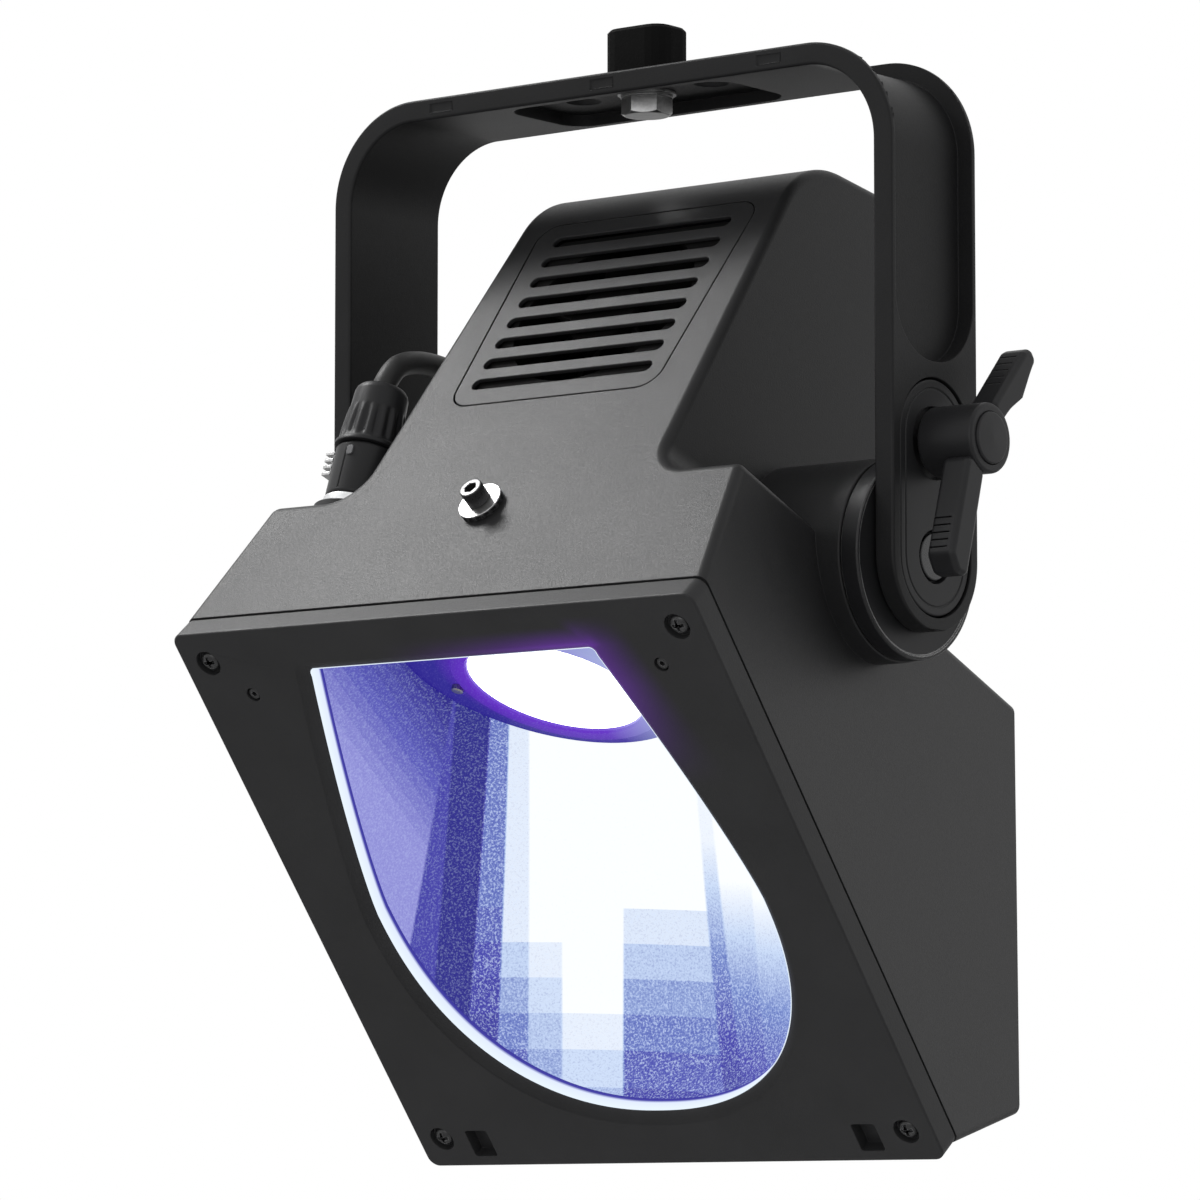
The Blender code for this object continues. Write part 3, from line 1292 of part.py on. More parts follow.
CEILING_LOW = REFLECTOR_WALL + STACK_GAP
CEILING_HIGH = CEILING_LOW + CEILING_THICK
LED_BOARD_LOW = CEILING_HIGH + STACK_GAP
LED_BOARD_HIGH = LED_BOARD_LOW + LED_BOARD_THICK


def ceiling():
    """The plate round the lamp, and the screw that holds it up."""
    ring = circle(CEILING_R + CEILING_LAP, 40, (0, CEILING_SHIFT))
    made = part("ceiling_plate", [prism(ring, CEILING_LOW, CEILING_HIGH, LAMP)], (0.10, 0.12, 0.30), 0.4)
    boolean(made, "lamp_way", [prism(circle(RING_R + GAP, 40), CEILING_LOW - CUT, CEILING_HIGH + CUT, LAMP)])
    hole = circle(CEILING_SCREW_R + STACK_GAP, 12, (CEILING_SCREW_X, CEILING_SCREW_H))
    boolean(made, "screw_hole", [prism(hole, CEILING_LOW - CUT, CEILING_HIGH + CUT, LAMP)])
    head_r = 2 * CEILING_SCREW_R
    seat = CEILING_LOW - SEAT
    profile = [
        (0.65 * head_r, -REFLECTOR_WALL), (0.93 * head_r, -0.7 * REFLECTOR_WALL), (head_r, seat),
        (CEILING_SCREW_R, seat), (CEILING_SCREW_R, CEILING_HIGH - RUN),
    ]
    place = shifted(LAMP, CEILING_SCREW_X, CEILING_SCREW_H)
    part("ceiling_screw", [turned(profile, place, 12)], ZINC, 0.3, 0.9)


def lamp_unit():
    """The lamp board, and the lens in its ring."""
    board = rounded(-LED_BOARD_HALF_X, LED_BOARD_HALF_X, *LED_BOARD_H, 0.006)
    part("led_board", [prism(board, LED_BOARD_LOW, LED_BOARD_HIGH, LAMP)], (0.7, 0.72, 0.74), 0.4, 0.5)
    high = CEILING_HIGH
    bore = LENS_R + GAP
    edge = LENS_PROUD / 2
    ring = [
        (bore, high), (RING_R, high), (RING_R, -edge), (RING_R - edge, -LENS_PROUD), (bore + edge, -LENS_PROUD),
        (bore, -edge),
    ]
    part("lamp_ring", [collar(ring, LAMP, 40)], (0.55, 0.56, 0.6), 0.3, 0.8)
    lens = [(LENS_R - 0.006, -LENS_PROUD), (LENS_R, STACK_GAP), (LENS_R, high)]
    part("lamp_lens", [turned(lens, LAMP, 48)], (0.9, 0.9, 1.0), 0.1)


def heat_sink():
    low = LED_BOARD_HIGH + STACK_GAP
    pitch = (2 * SINK_HALF_X - SINK_FIN) / (SINK_FINS - 1)
    outline = [(-SINK_HALF_X, low), (SINK_HALF_X, low)]
    for i in range(SINK_FINS):
        right = SINK_HALF_X - i * pitch
        outline += [(right, low + SINK_HEIGHT), (right - SINK_FIN, low + SINK_HEIGHT)]
        if i < SINK_FINS - 1:
            outline += [(right - SINK_FIN, low + SINK_BASE), (right - pitch, low + SINK_BASE)]
    rings = [[LAMP @ Vector((x, h, up)) for x, up in outline] for h in (SINK_LOW_H, SINK_HIGH_H)]
    part("heat_sink", [loft(rings)], ALUMINIUM, 0.4, 0.8)


# Fan

def fan_place():
    return shifted(SLOPE, 0, FAN_S, -VENT_THICK - GAP - FAN_THICK)


def fan():
    half = FAN_SIZE / 2
    place = fan_place()
    square = rounded(-half, half, -half, half, FAN_CORNER_R)
    frame_part = part("fan_frame", [prism(square, 0, FAN_THICK, place)], BLACK, 0.6)
    boolean(frame_part, "bore", [prism(circle(FAN_BORE_R, 36), -CUT, FAN_THICK + CUT, place)])
    arm = FAN_BORE_R + 0.001
    thin = FAN_STRUT_HALF
    cross = [
        (arm, -thin), (arm, thin), (thin, thin), (thin, arm), (-thin, arm), (-thin, thin),
        (-arm, thin), (-arm, -thin), (-thin, -thin), (-thin, -arm), (thin, -arm), (thin, -thin),
    ]
    boolean(frame_part, "struts", [prism(cross, *FAN_STRUT_LEVELS, place)], "UNION")
    boolean(frame_part, "motor_plate", [prism(circle(FAN_HUB_R), *FAN_PLATE_LEVELS, place)], "UNION")
    low, shoulder, high = FAN_ROTOR_LEVELS
    hub = turned([(FAN_HUB_R, low), (FAN_HUB_R, shoulder), (FAN_HUB_R - high + shoulder, high)], place)
    rotor = part("fan_rotor", [hub], BLACK, 0.5, pivot=place @ Vector((0, 0, FAN_THICK / 2)))
    pitch = Matrix.Rotation(FAN_BLADE_PITCH, 4, "X")
    wide = FAN_BLADE_HALF
    for i in range(FAN_BLADES):
        turn = Matrix.Rotation(2 * math.pi * i / FAN_BLADES, 4, "Z")
        blade = place @ turn @ Matrix.Translation((0, 0, FAN_THICK / 2)) @ pitch
        shape = box(FAN_HUB_R - CUT, FAN_BLADE_R, -wide, wide, -FAN_BLADE_THICK / 2, FAN_BLADE_THICK / 2, blade)
        boolean(rotor, f"blade_{i}", [shape], "UNION")


# Rear cover and electronics

def cover_screw_points():
    return [
        (x, z) for z in (COVER_LOW_Z + COVER_SCREW_INSET, COVER_HIGH_Z - COVER_SCREW_INSET)
        for x in (-COVER_SCREW_X, COVER_SCREW_X)
    ]


def rear_prism(outline, low, high):
    """A prism behind the neck; its outline is in (x, z) with x mirrored by the view."""
    return prism([(-x, z) for x, z in outline], low, high, REAR)


def rear_cover():
    outline = rounded(-COVER_HALF, COVER_HALF, COVER_LOW_Z, COVER_HIGH_Z, COVER_CORNER_R)
    made = part("rear_cover", [rear_prism(outline, COVER_FRONT_Y, COVER_REAR_Y)], BLACK, 0.5)
    ways = [
        rounded(-DISPLAY_W / 2, DISPLAY_W / 2, DISPLAY_Z - DISPLAY_H / 2, DISPLAY_Z + DISPLAY_H / 2, 0.001, 3),
        power_outline(0.0, 0.003),
    ]
    ways += [circle(BUTTON_R + STACK_GAP, 16, (x, BUTTON_Z)) for x in BUTTON_X]
    ways += [circle(DATA_R + GAP, 24, (x, SOCKET_Z)) for x in DATA_X]
    ways += [circle(COVER_SCREW_R + RUN, 12, at) for at in cover_screw_points()]
    boolean(made, "ways", [rear_prism(way, COVER_FRONT_Y - CUT, COVER_REAR_Y + CUT) for way in ways])


def cover_screws():
    low = COVER_REAR_Y + SEAT
    rim = low + COVER_SCREW_DOME
    profile = [
        (COVER_SCREW_R, NECK_BACK_Y - COVER_SCREW_BITE), (COVER_SCREW_R, low), (COVER_SCREW_HEAD_R, low),
        (COVER_SCREW_HEAD_R, rim), (COVER_SCREW_HEAD_R - COVER_SCREW_DOME, rim + COVER_SCREW_DOME),
    ]
    for letter, (x, z) in zip("abcd", cover_screw_points()):
        place = shifted(REAR, -x, z)
        made = part(f"cover_screw_{letter}", [turned(profile, place, 12)], STEEL, 0.3, 0.9)
        boolean(made, "socket", [prism(circle(SET_SOCKET_R, 6), low + SMALL_EDGE, low + CUT, place)])


def display_and_buttons():
    half_w = DISPLAY_W / 2 - GAP
    half_h = DISPLAY_H / 2 - GAP
    outline = rounded(-half_w, half_w, DISPLAY_Z - half_h, DISPLAY_Z + half_h, 0.0008, 3)
    glass = rear_prism(outline, COVER_FRONT_Y - CUT, COVER_REAR_Y - SMALL_EDGE)
    part("display", [glass], (0.02, 0.04, 0.08), 0.15)
    top = COVER_REAR_Y + BUTTON_PROUD
    back = COVER_FRONT_Y - STACK_GAP
    lip = BUTTON_R + BUTTON_LIP
    profile = [
        (lip, back - BUTTON_LIP_THICK), (lip, back), (BUTTON_R, back), (BUTTON_R, top - BUTTON_EDGE),
        (BUTTON_R - BUTTON_EDGE, top),
    ]
    for letter, x in zip("abcd", BUTTON_X):
        key = turned(profile, shifted(REAR, -x, BUTTON_Z), 12)
        part(f"button_{letter}", [key], (0.08, 0.08, 0.085), 0.5, pivot=(x, COVER_REAR_Y, BUTTON_Z))


SOCKET_LOW_Y = COVER_FRONT_Y - SOCKET_DEPTH
SOCKET_TOP_Y = COVER_REAR_Y + SOCKET_PROUD
SOCKET_SEAT_Y = COVER_REAR_Y + SEAT


def power_outline(grow, radius):
    """The power socket's rounded outline, grown or drawn in."""
    half_w = POWER_W / 2 + grow
    half_h = POWER_H / 2 + grow
    return rounded(POWER_X - half_w, POWER_X + half_w, SOCKET_Z - half_h, SOCKET_Z + half_h, radius)


def power_socket():
    body = power_outline(-GAP, 0.0027)
    made = part("power_socket", [rear_prism(body, SOCKET_LOW_Y, SOCKET_TOP_Y)], BLACK, 0.5)
    rim = rear_prism(power_outline(POWER_LIP, 0.004), SOCKET_SEAT_Y, SOCKET_TOP_Y - SMALL_EDGE)
    boolean(made, "flange", [rim], "UNION")
    floor = SOCKET_LOW_Y + SOCKET_FLOOR
    boolean(made, "hollow", [rear_prism(power_outline(-POWER_WALL, 0.003), floor, SOCKET_TOP_Y + CUT)])
    root = floor - SOCKET_FLOOR / 2
    spots = [(POWER_X + dx, SOCKET_Z + dz) for dx, dz in POWER_PINS]
    pins = [rear_prism(circle(POWER_PIN_R, 8, spot), root, floor + POWER_PIN_LENGTH) for spot in spots]
    boolean(made, "pins", pins, "UNION")


def data_sockets():
    lip = DATA_R + DATA_LIP
    profile = [
        (DATA_R, SOCKET_LOW_Y), (DATA_R, SOCKET_SEAT_Y), (lip, SOCKET_SEAT_Y),
        (lip, SOCKET_TOP_Y - SMALL_EDGE), (lip - SMALL_EDGE, SOCKET_TOP_Y),
    ]
    floor = SOCKET_LOW_Y + SOCKET_FLOOR
    root = floor - SOCKET_FLOOR / 2
    spots = circle(DATA_PIN_RING, 5, start=math.pi / 2)
    for letter, x in zip("ab", DATA_X):
        place = shifted(REAR, -x, SOCKET_Z)
        made = part(f"data_socket_{letter}", [turned(profile, place, 20)], BLACK, 0.45)
        boolean(made, "hollow", [prism(circle(DATA_BORE_R, 16), floor, SOCKET_TOP_Y + CUT, place)])
        pins = [prism(circle(DATA_PIN_R, 6, spot), root, floor + DATA_PIN_LENGTH, place) for spot in spots]
        boolean(made, "pins", pins, "UNION")


def electronics():
    back = COVER_FRONT_Y - CUT - GAP - SEAT
    board = rounded(-BOARD_HALF_X, BOARD_HALF_X, *BOARD_Z, 0.002, 3)
    part("control_board", [rear_prism(board, back - BOARD_THICK, back)], (0.03, 0.16, 0.07), 0.5)
    low, top = Vector((0, *BACK_LOW)), Vector((0, *BACK_TOP))
    run = (low - top).normalized()
    wall = frame(run.cross(RIGHT).cross(run), run, run.cross(RIGHT), (low + top) / 2)
    inner = WALL + GAP + SEAT
    case = rounded(-DRIVER_HALF_X, DRIVER_HALF_X, *DRIVER_RUN, 0.003)
    part("driver_box", [prism(case, inner, inner + DRIVER_HIGH, wall)], (0.6, 0.61, 0.62), 0.45, 0.6)


# Lead and its connector

PLUG_LOW = PAD_HIGH + GAP + FLANGE_HIGH + GAP


def connector():
    """The flange and plug on the ledge."""
    place = connector_frame()
    base = PAD_HIGH + GAP
    top = base + FLANGE_HIGH
    flange = [(FLANGE_R, base), (FLANGE_R, top - SMALL_EDGE), (FLANGE_R - SMALL_EDGE, top)]
    part("socket_flange", [turned(flange, place)], (0.5, 0.5, 0.5), 0.4, 0.6)
    body = part("plug_body", [turned([
        (PLUG_R - SMALL_EDGE, PLUG_LOW), (PLUG_R, PLUG_LOW + SMALL_EDGE), (PLUG_R, PLUG_TOP - PLUG_EDGE),
        (PLUG_R - PLUG_EDGE, PLUG_TOP),
    ], place)], BLACK, 0.45)
    front = -PLUG_R - CUT
    seam_low, seam_high = SEAM_LEVELS
    seam = box(-GAP, GAP, front, SEAM_DEPTH - PLUG_R, PLUG_LOW + seam_low, PLUG_LOW + seam_high, place)
    boolean(body, "seam", [seam])
    low, high = LATCH_WAY_LEVELS
    half = LATCH_HALF + LATCH_PLAY
    back = LATCH_SUNK + LATCH_PLAY - PLUG_R
    boolean(body, "latch_way", [box(front, back, -half, half, PLUG_LOW + low, PLUG_LOW + high, place)])


def bushing():
    """The fluted sleeve that the lead leaves the plug through."""
    low = PLUG_TOP + STACK_GAP
    steps = BUSHING_FLUTES * 3

    def ring(radius, depth, level):
        points = []
        for i in range(steps):
            reach = radius - (depth if i % 3 == 0 else 0)
            turn = 2 * math.pi * i / steps
            points.append((reach * math.cos(turn), reach * math.sin(turn)))
        return points, level

    levels = [ring(radius, depth, low + up) for radius, depth, up in BUSHING_RINGS]
    levels += [ring(BUSHING_TIP_R, 0, BUSHING_TOP - BUSHING_ROUND)]
    levels += [ring(BUSHING_TIP_R - BUSHING_ROUND * 0.6, 0, BUSHING_TOP)]
    part("lead_bushing", [stack(levels, connector_frame())], BLACK, 0.4, sharp=50)


def latch():
    """The ridged thumb slide in the plug's side."""
    place = connector_frame()
    low, high = (PLUG_LOW + level for level in LATCH_LEVELS)
    half = LATCH_HALF
    slide = box(-PLUG_R - LATCH_PROUD, LATCH_SUNK - PLUG_R, -half, half, low, high, place)
    made = part("plug_latch", [slide], (0.7, 0.7, 0.72), 0.25, 0.9, pivot=place @ Vector((-PLUG_R, 0, low)))
    grooves = []
    front = -PLUG_R - 2 * CUT
    floor = LATCH_GROOVE_DEPTH - LATCH_PROUD - PLUG_R
    for i in range(LATCH_GROOVES):
        level = low + LATCH_GROOVE_PITCH * (i + 0.5)
        grooves.append(box(front, floor, -2 * half, 2 * half, level, level + LATCH_GROOVE, place))
    boolean(made, "grooves", grooves)


def gland():
    place = gland_frame()
    low = GLAND_BOSS + GAP
    high = low + GLAND_LENGTH
    nut = [(radius, low + up) for radius, up in GLAND_NUT]
    tail = [(GLAND_TAIL_R, high - GLAND_ROUND), (GLAND_TAIL_R - GLAND_ROUND / 2, high)]
    part("lead_gland", [turned(nut + tail, place, 16)], BLACK, 0.4)


def smooth_route(points, per_span):
    """A Catmull-Rom curve through the points, whose first and last only steer it."""
    made = []
    for i in range(1, len(points) - 2):
        p, q, r, s = (Vector(points[i + k]) for k in (-1, 0, 1, 2))
        for step in range(per_span):
            t = step / per_span
            bend = (2 * p - 5 * q + 4 * r - s) * t**2 + (3 * q - p - 3 * r + s) * t**3
            made.append(q + 0.5 * ((r - p) * t + bend))
    made.append(Vector(points[-2]))
    return made


def link_lead():
    """The short lead between the ledge connector and the gland."""
    plug = connector_frame()
    neck = gland_frame()
    plug_face = BUSHING_TOP + GAP
    gland_face = GLAND_BOSS + GAP + GLAND_LENGTH + GAP
    first = plug @ Vector((0, 0, plug_face))
    last = neck @ Vector((0, 0, gland_face))
    route = [
        first, plug @ Vector((0, 0, plug_face + LEAD_STRAIGHT)),
        *LEAD_ROUTE,
        neck @ Vector((0, 0, gland_face + LEAD_STRAIGHT)), last,
    ]
    points = [first, *smooth_route(route, 3), last]
    curve = bpy.data.curves.new("link_lead", "CURVE")
    curve.dimensions = "3D"
    curve.bevel_depth = LEAD_R
    curve.bevel_resolution = 2
    curve.use_fill_caps = True
    spline = curve.splines.new("POLY")
    spline.points.add(len(points) - 1)
    for target, point in zip(spline.points, points):
        target.co = (*point, 1)
    made = bpy.data.objects.new("link_lead", curve)
    made.location = (0, 0, -TILT_DROP)
    bpy.context.scene.collection.objects.link(made)
    paint(made, BLACK, 0.6, 0)


def main():
    reset_scene()
    hanging_block()
    pan_bolt()
    pan_washers()
    yoke()
    for side, word in ((-1, "left"), (1, "right")):
        oval_plate(side, f"pivot_plate_{word}")
        pivot_bolt(side, f"pivot_bolt_{word}")
        friction_disc(side, f"friction_disc_{word}")
    brake_shoe()
    tilt_lever()
    lever_cap()
    lever_stud()
    bezel()
    bezel_screws()
    set_screws()
    housing()
    vent_panel()
    earth_screw()
    reflector()
    ceiling()
    lamp_unit()
    heat_sink()
    fan()
    rear_cover()
    cover_screws()
    display_and_buttons()
    power_socket()
    data_sockets()
    electronics()
    connector()
    bushing()
    latch()
    gland()
    link_lead()


main()
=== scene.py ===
from math import atan2, cos, pi, radians, sin, tan

import bmesh
import bpy
from mathutils import Matrix, Vector

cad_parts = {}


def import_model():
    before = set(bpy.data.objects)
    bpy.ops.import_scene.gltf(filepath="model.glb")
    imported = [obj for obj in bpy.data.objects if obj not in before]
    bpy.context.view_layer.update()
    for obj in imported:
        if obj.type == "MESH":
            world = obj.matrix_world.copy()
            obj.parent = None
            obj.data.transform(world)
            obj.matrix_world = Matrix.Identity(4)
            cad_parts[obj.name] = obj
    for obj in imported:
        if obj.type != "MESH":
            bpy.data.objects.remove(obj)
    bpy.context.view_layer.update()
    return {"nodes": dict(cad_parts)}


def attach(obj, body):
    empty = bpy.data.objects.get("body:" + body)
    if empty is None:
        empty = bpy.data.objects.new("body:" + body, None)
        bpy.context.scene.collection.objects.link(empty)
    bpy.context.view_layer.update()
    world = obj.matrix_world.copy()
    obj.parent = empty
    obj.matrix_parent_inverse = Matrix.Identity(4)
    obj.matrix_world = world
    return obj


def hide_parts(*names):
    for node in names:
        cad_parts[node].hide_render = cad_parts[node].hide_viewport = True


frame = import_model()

# Sizes shared with the construction, in metres, drawn about the tilt axis
GAP = 0.0003
TILT_DROP = 0.235
YOKE_INNER_X = 0.1384
YOKE_THICK = 0.00925
YOKE_DEPTH = 0.0603
YOKE_BAR_Z = 0.203
YOKE_BEND_R = 0.034
YOKE_WEB = 0.002
YOKE_RIM = 0.0029
YOKE_EDGE = 0.0012
RECESS_LEG_Z = 0.080
RECESS_BAR_X = 0.066
RECESS_BAR_R = 0.012
RECESS_END_R = 0.026
POCKET_HALF_X = 0.058
POCKET_HALF_Y = 0.0252
POCKET_FLOOR_Z = 0.208
POCKET_CORNER_R = 0.012
BAR_HOLE_X = 0.034
BAR_HOLE_R = 0.0075
NOTCH_LENGTH = 0.012
NOTCH_HEIGHT = 0.004
NOTCH_DEPTH = 0.0003
NOTCH_X = (-0.088, -0.001, 0.086)
NOTCH_Z = 0.2076
PAN_BOLT_R = 0.006
PLATE_R = 0.0242
PLATE_GROOVE = 0.0007
PLATE_SPAN_Z = 0.0485
PLATE_THICK = 0.0050
PLATE_EDGE = 0.0009
PLATE_LINE = (0.0034, 0.0042)
PLATE_LINE_DEPTH = 0.0004
PLATE_WELL_FLOOR = 0.0012
PLATE_SUNK = 0.0006
PLATE_BOLT_WELL_R = 0.011
PLATE_HUB_WELL_R = 0.015
DISC_R = 0.0415
DISC_INNER_X = 0.1295
BOSS_R = 0.042
BOSS_FACE_X = 0.1292
BOSS_INNER_X = 0.074
PIVOT_R = 0.006
PIVOT_HEAD = (
    (0.0001, 0), (0.0095, 0), (0.0095, 0.0034), (0.0040, 0.0034), (0.0038, 0.0012), (0.0001, 0.0012),
)
LEVER_Z = 0.0465
LEVER_HUB_R = 0.0145
LEVER_INNER_X = 0.1482
LEVER_OUTER_X = 0.1748
LEVER_WING_X = 0.161
LEVER_CAP_R = 0.0107
LEVER_CAP_PROUD = 0.0010
WING_CORNER_R = 0.0034
WING_EDGE = 0.0024
WING_SUNK = 0.0006
WING_GROOVES = 5
WING_GROOVE_HALF = 0.0003
WING_GROOVE_DEPTH = 0.0007
WING_GROOVE_SHORT = 0.0040
UPPER_GROOVES = (0.0030, 0.0041)
LOWER_GROOVES = (0.0031, 0.0032)
FACE_TILT = radians(38.34)
FACE_CENTRE = (0, -0.06305, -0.13485)
BEZEL_W = 0.270
BEZEL_H = 0.276
BEZEL_THICK = 0.0115
BEZEL_CORNER_R = 0.005
BEZEL_EDGE = 0.0010
BEZEL_REAR_EDGE = 0.0004
WINDOW_TOP_V = -0.120
WINDOW_SIDE_V = 0.0081
WINDOW_HALF = 0.1057
WINDOW_BOTTOM_V = 0.118
WINDOW_CORNER_R = 0.008
WINDOW_POWER = 2.25
WINDOW_SIDE_DROP = 0.0264
WINDOW_SIDE_POWER = 1.3
WINDOW_BEVEL = 0.0050
WINDOW_BEVEL_DEPTH = 0.0036
SCREW_X = 0.1217
SCREW_V = 0.1233
SCREW_WELL_R = 0.0058
SCREW_WELL_DEPTH = 0.0032
SCREW_HEAD_R = 0.0045
SCREW_DOME = 0.0027
SCREW_RIM = 0.0004
SLOT_HALF_SHARE = 0.17
SLOT_ARM_SHARE = 0.62
SET_SCREW_X = 0.106
SET_SCREW_V = -0.1066
SET_SCREW_R = 0.0026
SQUARE_X = 0.1015
SQUARE_V = 0.126
SQUARE_W = 0.0118
SQUARE_H = 0.0135
SQUARE_DEPTH = 0.006
SLOPE_RISE = radians(51)
LEDGE_FALL = radians(19.4)
SHOULDER_S = 0.0656
SLOPE_TOP_S = 0.2258
LEDGE_RUN = 0.240
BACK_LOW_V = BEZEL_H / 2 + 0.0271
BACK_LOW_DEPTH = BEZEL_THICK + 0.0547
TOP_ARC_R = 0.045
TOP_FALL = radians(9.5)
NECK_BACK_Y = 0.100
SIDE_TAPER = 0.19
NECK_HALF = 0.0787
NECK_TAPER = 0.05
NECK_FILLET_R = 0.016
NECK_HOLLOW_HALF = 0.064
HOUSING_EDGE = 0.0040
HOUSING_EDGE_BACK = 0.090
HOUSING_WALL = 0.0032
SHADOW_GAP = 0.0010
BACK_OPENING_HALF = 0.054
BACK_OPENING_RISE = 0.0184
BACK_OPENING_DROP = 0.0158
VENT_LOW_S = 0.1165
VENT_HIGH_S = 0.2266
VENT_LOW_HALF = 0.0540
VENT_HIGH_HALF = 0.0579
VENT_CORNER_R = 0.010
VENT_GROOVE = 0.0006
VENT_THICK = 0.002
VENT_LAND = 0.005
VENT_SLOTS = 8
VENT_TOP_SLOT_S = 0.2155
VENT_PITCH = 0.01236
VENT_SLOT_HALF = 0.047
VENT_SLOT_WIDTH = 0.006
EARTH_X = -0.0030
EARTH_S = 0.0535
EARTH_HEAD_R = 0.005
EARTH_HEAD_HEIGHT = 0.0075
EARTH_WASHER_THICK = 0.0027
EARTH_WASHER_R = 0.0098
EARTH_TEETH = 16
EARTH_TOOTH = (0.99, 0.90)
EARTH_BORE_R = 0.0027
EARTH_SHANK_R = 0.0024
EARTH_SOCKET_R = 0.0029
LAMP_Y = -0.0623
LAMP_Z = -0.0487
LAMP_TILT = radians(23.9)
LENS_R = 0.0375
CEILING_R = 0.0617
CEILING_SHIFT = -0.010
REFLECTOR_WALL = 0.0012
CONNECTOR_X = -0.098
CONNECTOR_S = 0.0229
PAD_R = 0.0172
PAD_HIGH = 0.0046
FLANGE_R = 0.0140
FLANGE_THICK = 0.0042
PLUG_R = 0.0135
PLUG_TOP = 0.0333
BUSHING_TOP = 0.0625
BUSHING_FLUTES = 16
FLUTE_DEPTH = 0.0011
BUSHING_FOOT = (
    (0.0142, 0, 0), (0.0148, 0, 0.0005), (0.0148, 0, 0.0018), (0.0142, 0, 0.0024), (0.0138, 0, 0.0030),
    (0.0137, 1, 0.0050), (0.0134, 1, 0.0090), (0.0129, 1, 0.0140), (0.0123, 0.4, 0.0175), (0.0119, 0, 0.0190),
)
BUSHING_END = ((0.0116, 0.0030), (0.0110, 0.0012), (0.0100, 0))
LATCH_WAY = (0.0094, 0.0230)
LATCH_WAY_HALF = 0.0062
LATCH_WAY_DEPTH = 0.0022
LATCH_LEVELS = (0.0118, 0.0226)
LATCH_HALF = 0.0058
LATCH_FINS = 4
LATCH_FIN = 0.0015
LATCH_FIN_PITCH = 0.0031
LATCH_FIN_PROUD = 0.0034
LATCH_FIN_FRONT = 0.0070
LEAD_R = 0.005
LEAD_STRAIGHT = 0.003
LEAD_ROUTE = (
    (-0.0985, -0.0465, 0.0940), (-0.1000, -0.0330, 0.0978), (-0.1030, -0.0130, 0.0985),
    (-0.1055, 0.0080, 0.0960), (-0.1035, 0.0260, 0.0928),
)
GLAND_WALL = (-0.0742, 0.062, 0.092)
GLAND_TURN = radians(40)
GLAND_BOSS = 0.012
GLAND_BOSS_R = 0.0115
GLAND_LENGTH = 0.016

# Camera at the photograph's viewing angle
CAMERA_AT = (1.58139, -2.06001, -0.52036)
CAMERA_RIGHT = (0.78855, 0.61497, 0.0)
CAMERA_UP = (0.06535, -0.08379, 0.99434)
CAMERA_BACK = (0.61149, -0.78409, -0.10626)
CAMERA_LENS = 186.75
WORLD_LEVEL = 0.50
FLOOR_Z = -0.70

# Rounding and finishes
BEVEL_ANGLE = 50
EARLY_ANGLE = 32
SPECK_GAIN = 1.6
# Lighter edges of the finishes: partly wear, partly a painted highlight along them
WEAR_AND_SHEEN_GAIN = 2.2
WEAR_AND_SHEEN_LIFT = 0.01
WEAR_AND_SHEEN_LEAST = 0.4
GLOSS_DRIFT = 0.15

# Bowl painted with the lamp's light and reflections, with strips as (left edge, its lean, first dimmed
# height, drop for each row, tone at the top)
BOWL_TOP = 0.299
BOWL_ROW = 0.015
BOWL_SMOOTH_LEAN = 0.08
BOWL_STRIPS = (
    (-0.0664, -0.0750, 0.073, 0.07, 0.50), (-0.0582, -0.0390, 0.088, 0.12, 0.90),
    (-0.0496, -0.0060, 0.088, 0.085, 1.0), (-0.0359, 0.0, 0.118, 0.10, 1.02),
    (-0.0099, 0.0, 0.073, 0.12, 1.0), (0.0183, 0.0920, 0.043, 0.11, 0.95),
    (0.0229, 0.1150, 0.060, 0.13, 1.0), (0.0380, 0.0825, 0.066, 0.13, 1.0),
)
# The left wall's violet bands are painted light as well
WALL_LINES = ((-0.0840, -0.183), (-0.0813, -0.082))
BOWL_DARK_TONE = 0.06
WALL_BAND = 0.009
WALL_BAND_FROM = 0.100
WALL_BAND_LEAN = 1.5
WALL_BAND_STEP = 0.11
WALL_BAND_TONE = 0.42
HAMMERED_GLINT_SHARE = 2.4
HAMMERED_GLINT_LEAST = 0.06

# Violet light painted as a glow on the bezel round the window's top right corner, as distances right, down or
# aside of it
SPILL_CORNER = (0.0772, -0.118, 0.0)
SPILL_OVER = 0.010
SPILL_FROM = (-0.11, -0.02)
SPILL_TO = (0.0, 0.012)
SPILL_ASIDE = (-0.006, 0.020)
SPILL_INSIDE = (-0.010, -0.003)
SPILL_DOWN = (0.070, 0.020)
SPILL_UP = (-0.014, 0.0)
SPILL_FALL = 1.6
SPILL_STRENGTH = 0.9


def srgb(red, green, blue):
    """A colour written in 0 to 255 screen values, as linear light."""
    shares = [c / 255 for c in (red, green, blue)]
    return tuple(c / 12.92 if c <= 0.04045 else ((c + 0.055) / 1.055) ** 2.4 for c in shares)


BLUE_TO_WHITE = (
    (0.0, srgb(26, 22, 120)), (0.35, srgb(72, 70, 170)), (0.6, srgb(122, 144, 204)),
    (0.8, srgb(200, 218, 243)), (1.0, srgb(252, 255, 255)),
)
WALL_TONES = ((0.0, srgb(38, 30, 130)), (0.5, srgb(84, 84, 178)), (1.0, srgb(146, 146, 214)))
RIM_TONES = (
    (0.0, srgb(235, 246, 255)), (0.62, srgb(226, 236, 255)), (0.80, srgb(60, 56, 160)),
    (1.0, srgb(44, 38, 140)),
)
SIDES = ((-1, "left"), (1, "right"))


# Frames of reference

def axes(x_axis, y_axis, z_axis, origin):
    """The matrix whose columns are the three axes and the origin."""
    made = Matrix((x_axis, y_axis, z_axis)).transposed().to_4x4()
    made.translation = Vector(origin)
    return made


def side_direction(angle):
    """The unit vector in the side view at an angle above straight back."""
    return Vector((0, cos(angle), sin(angle)))


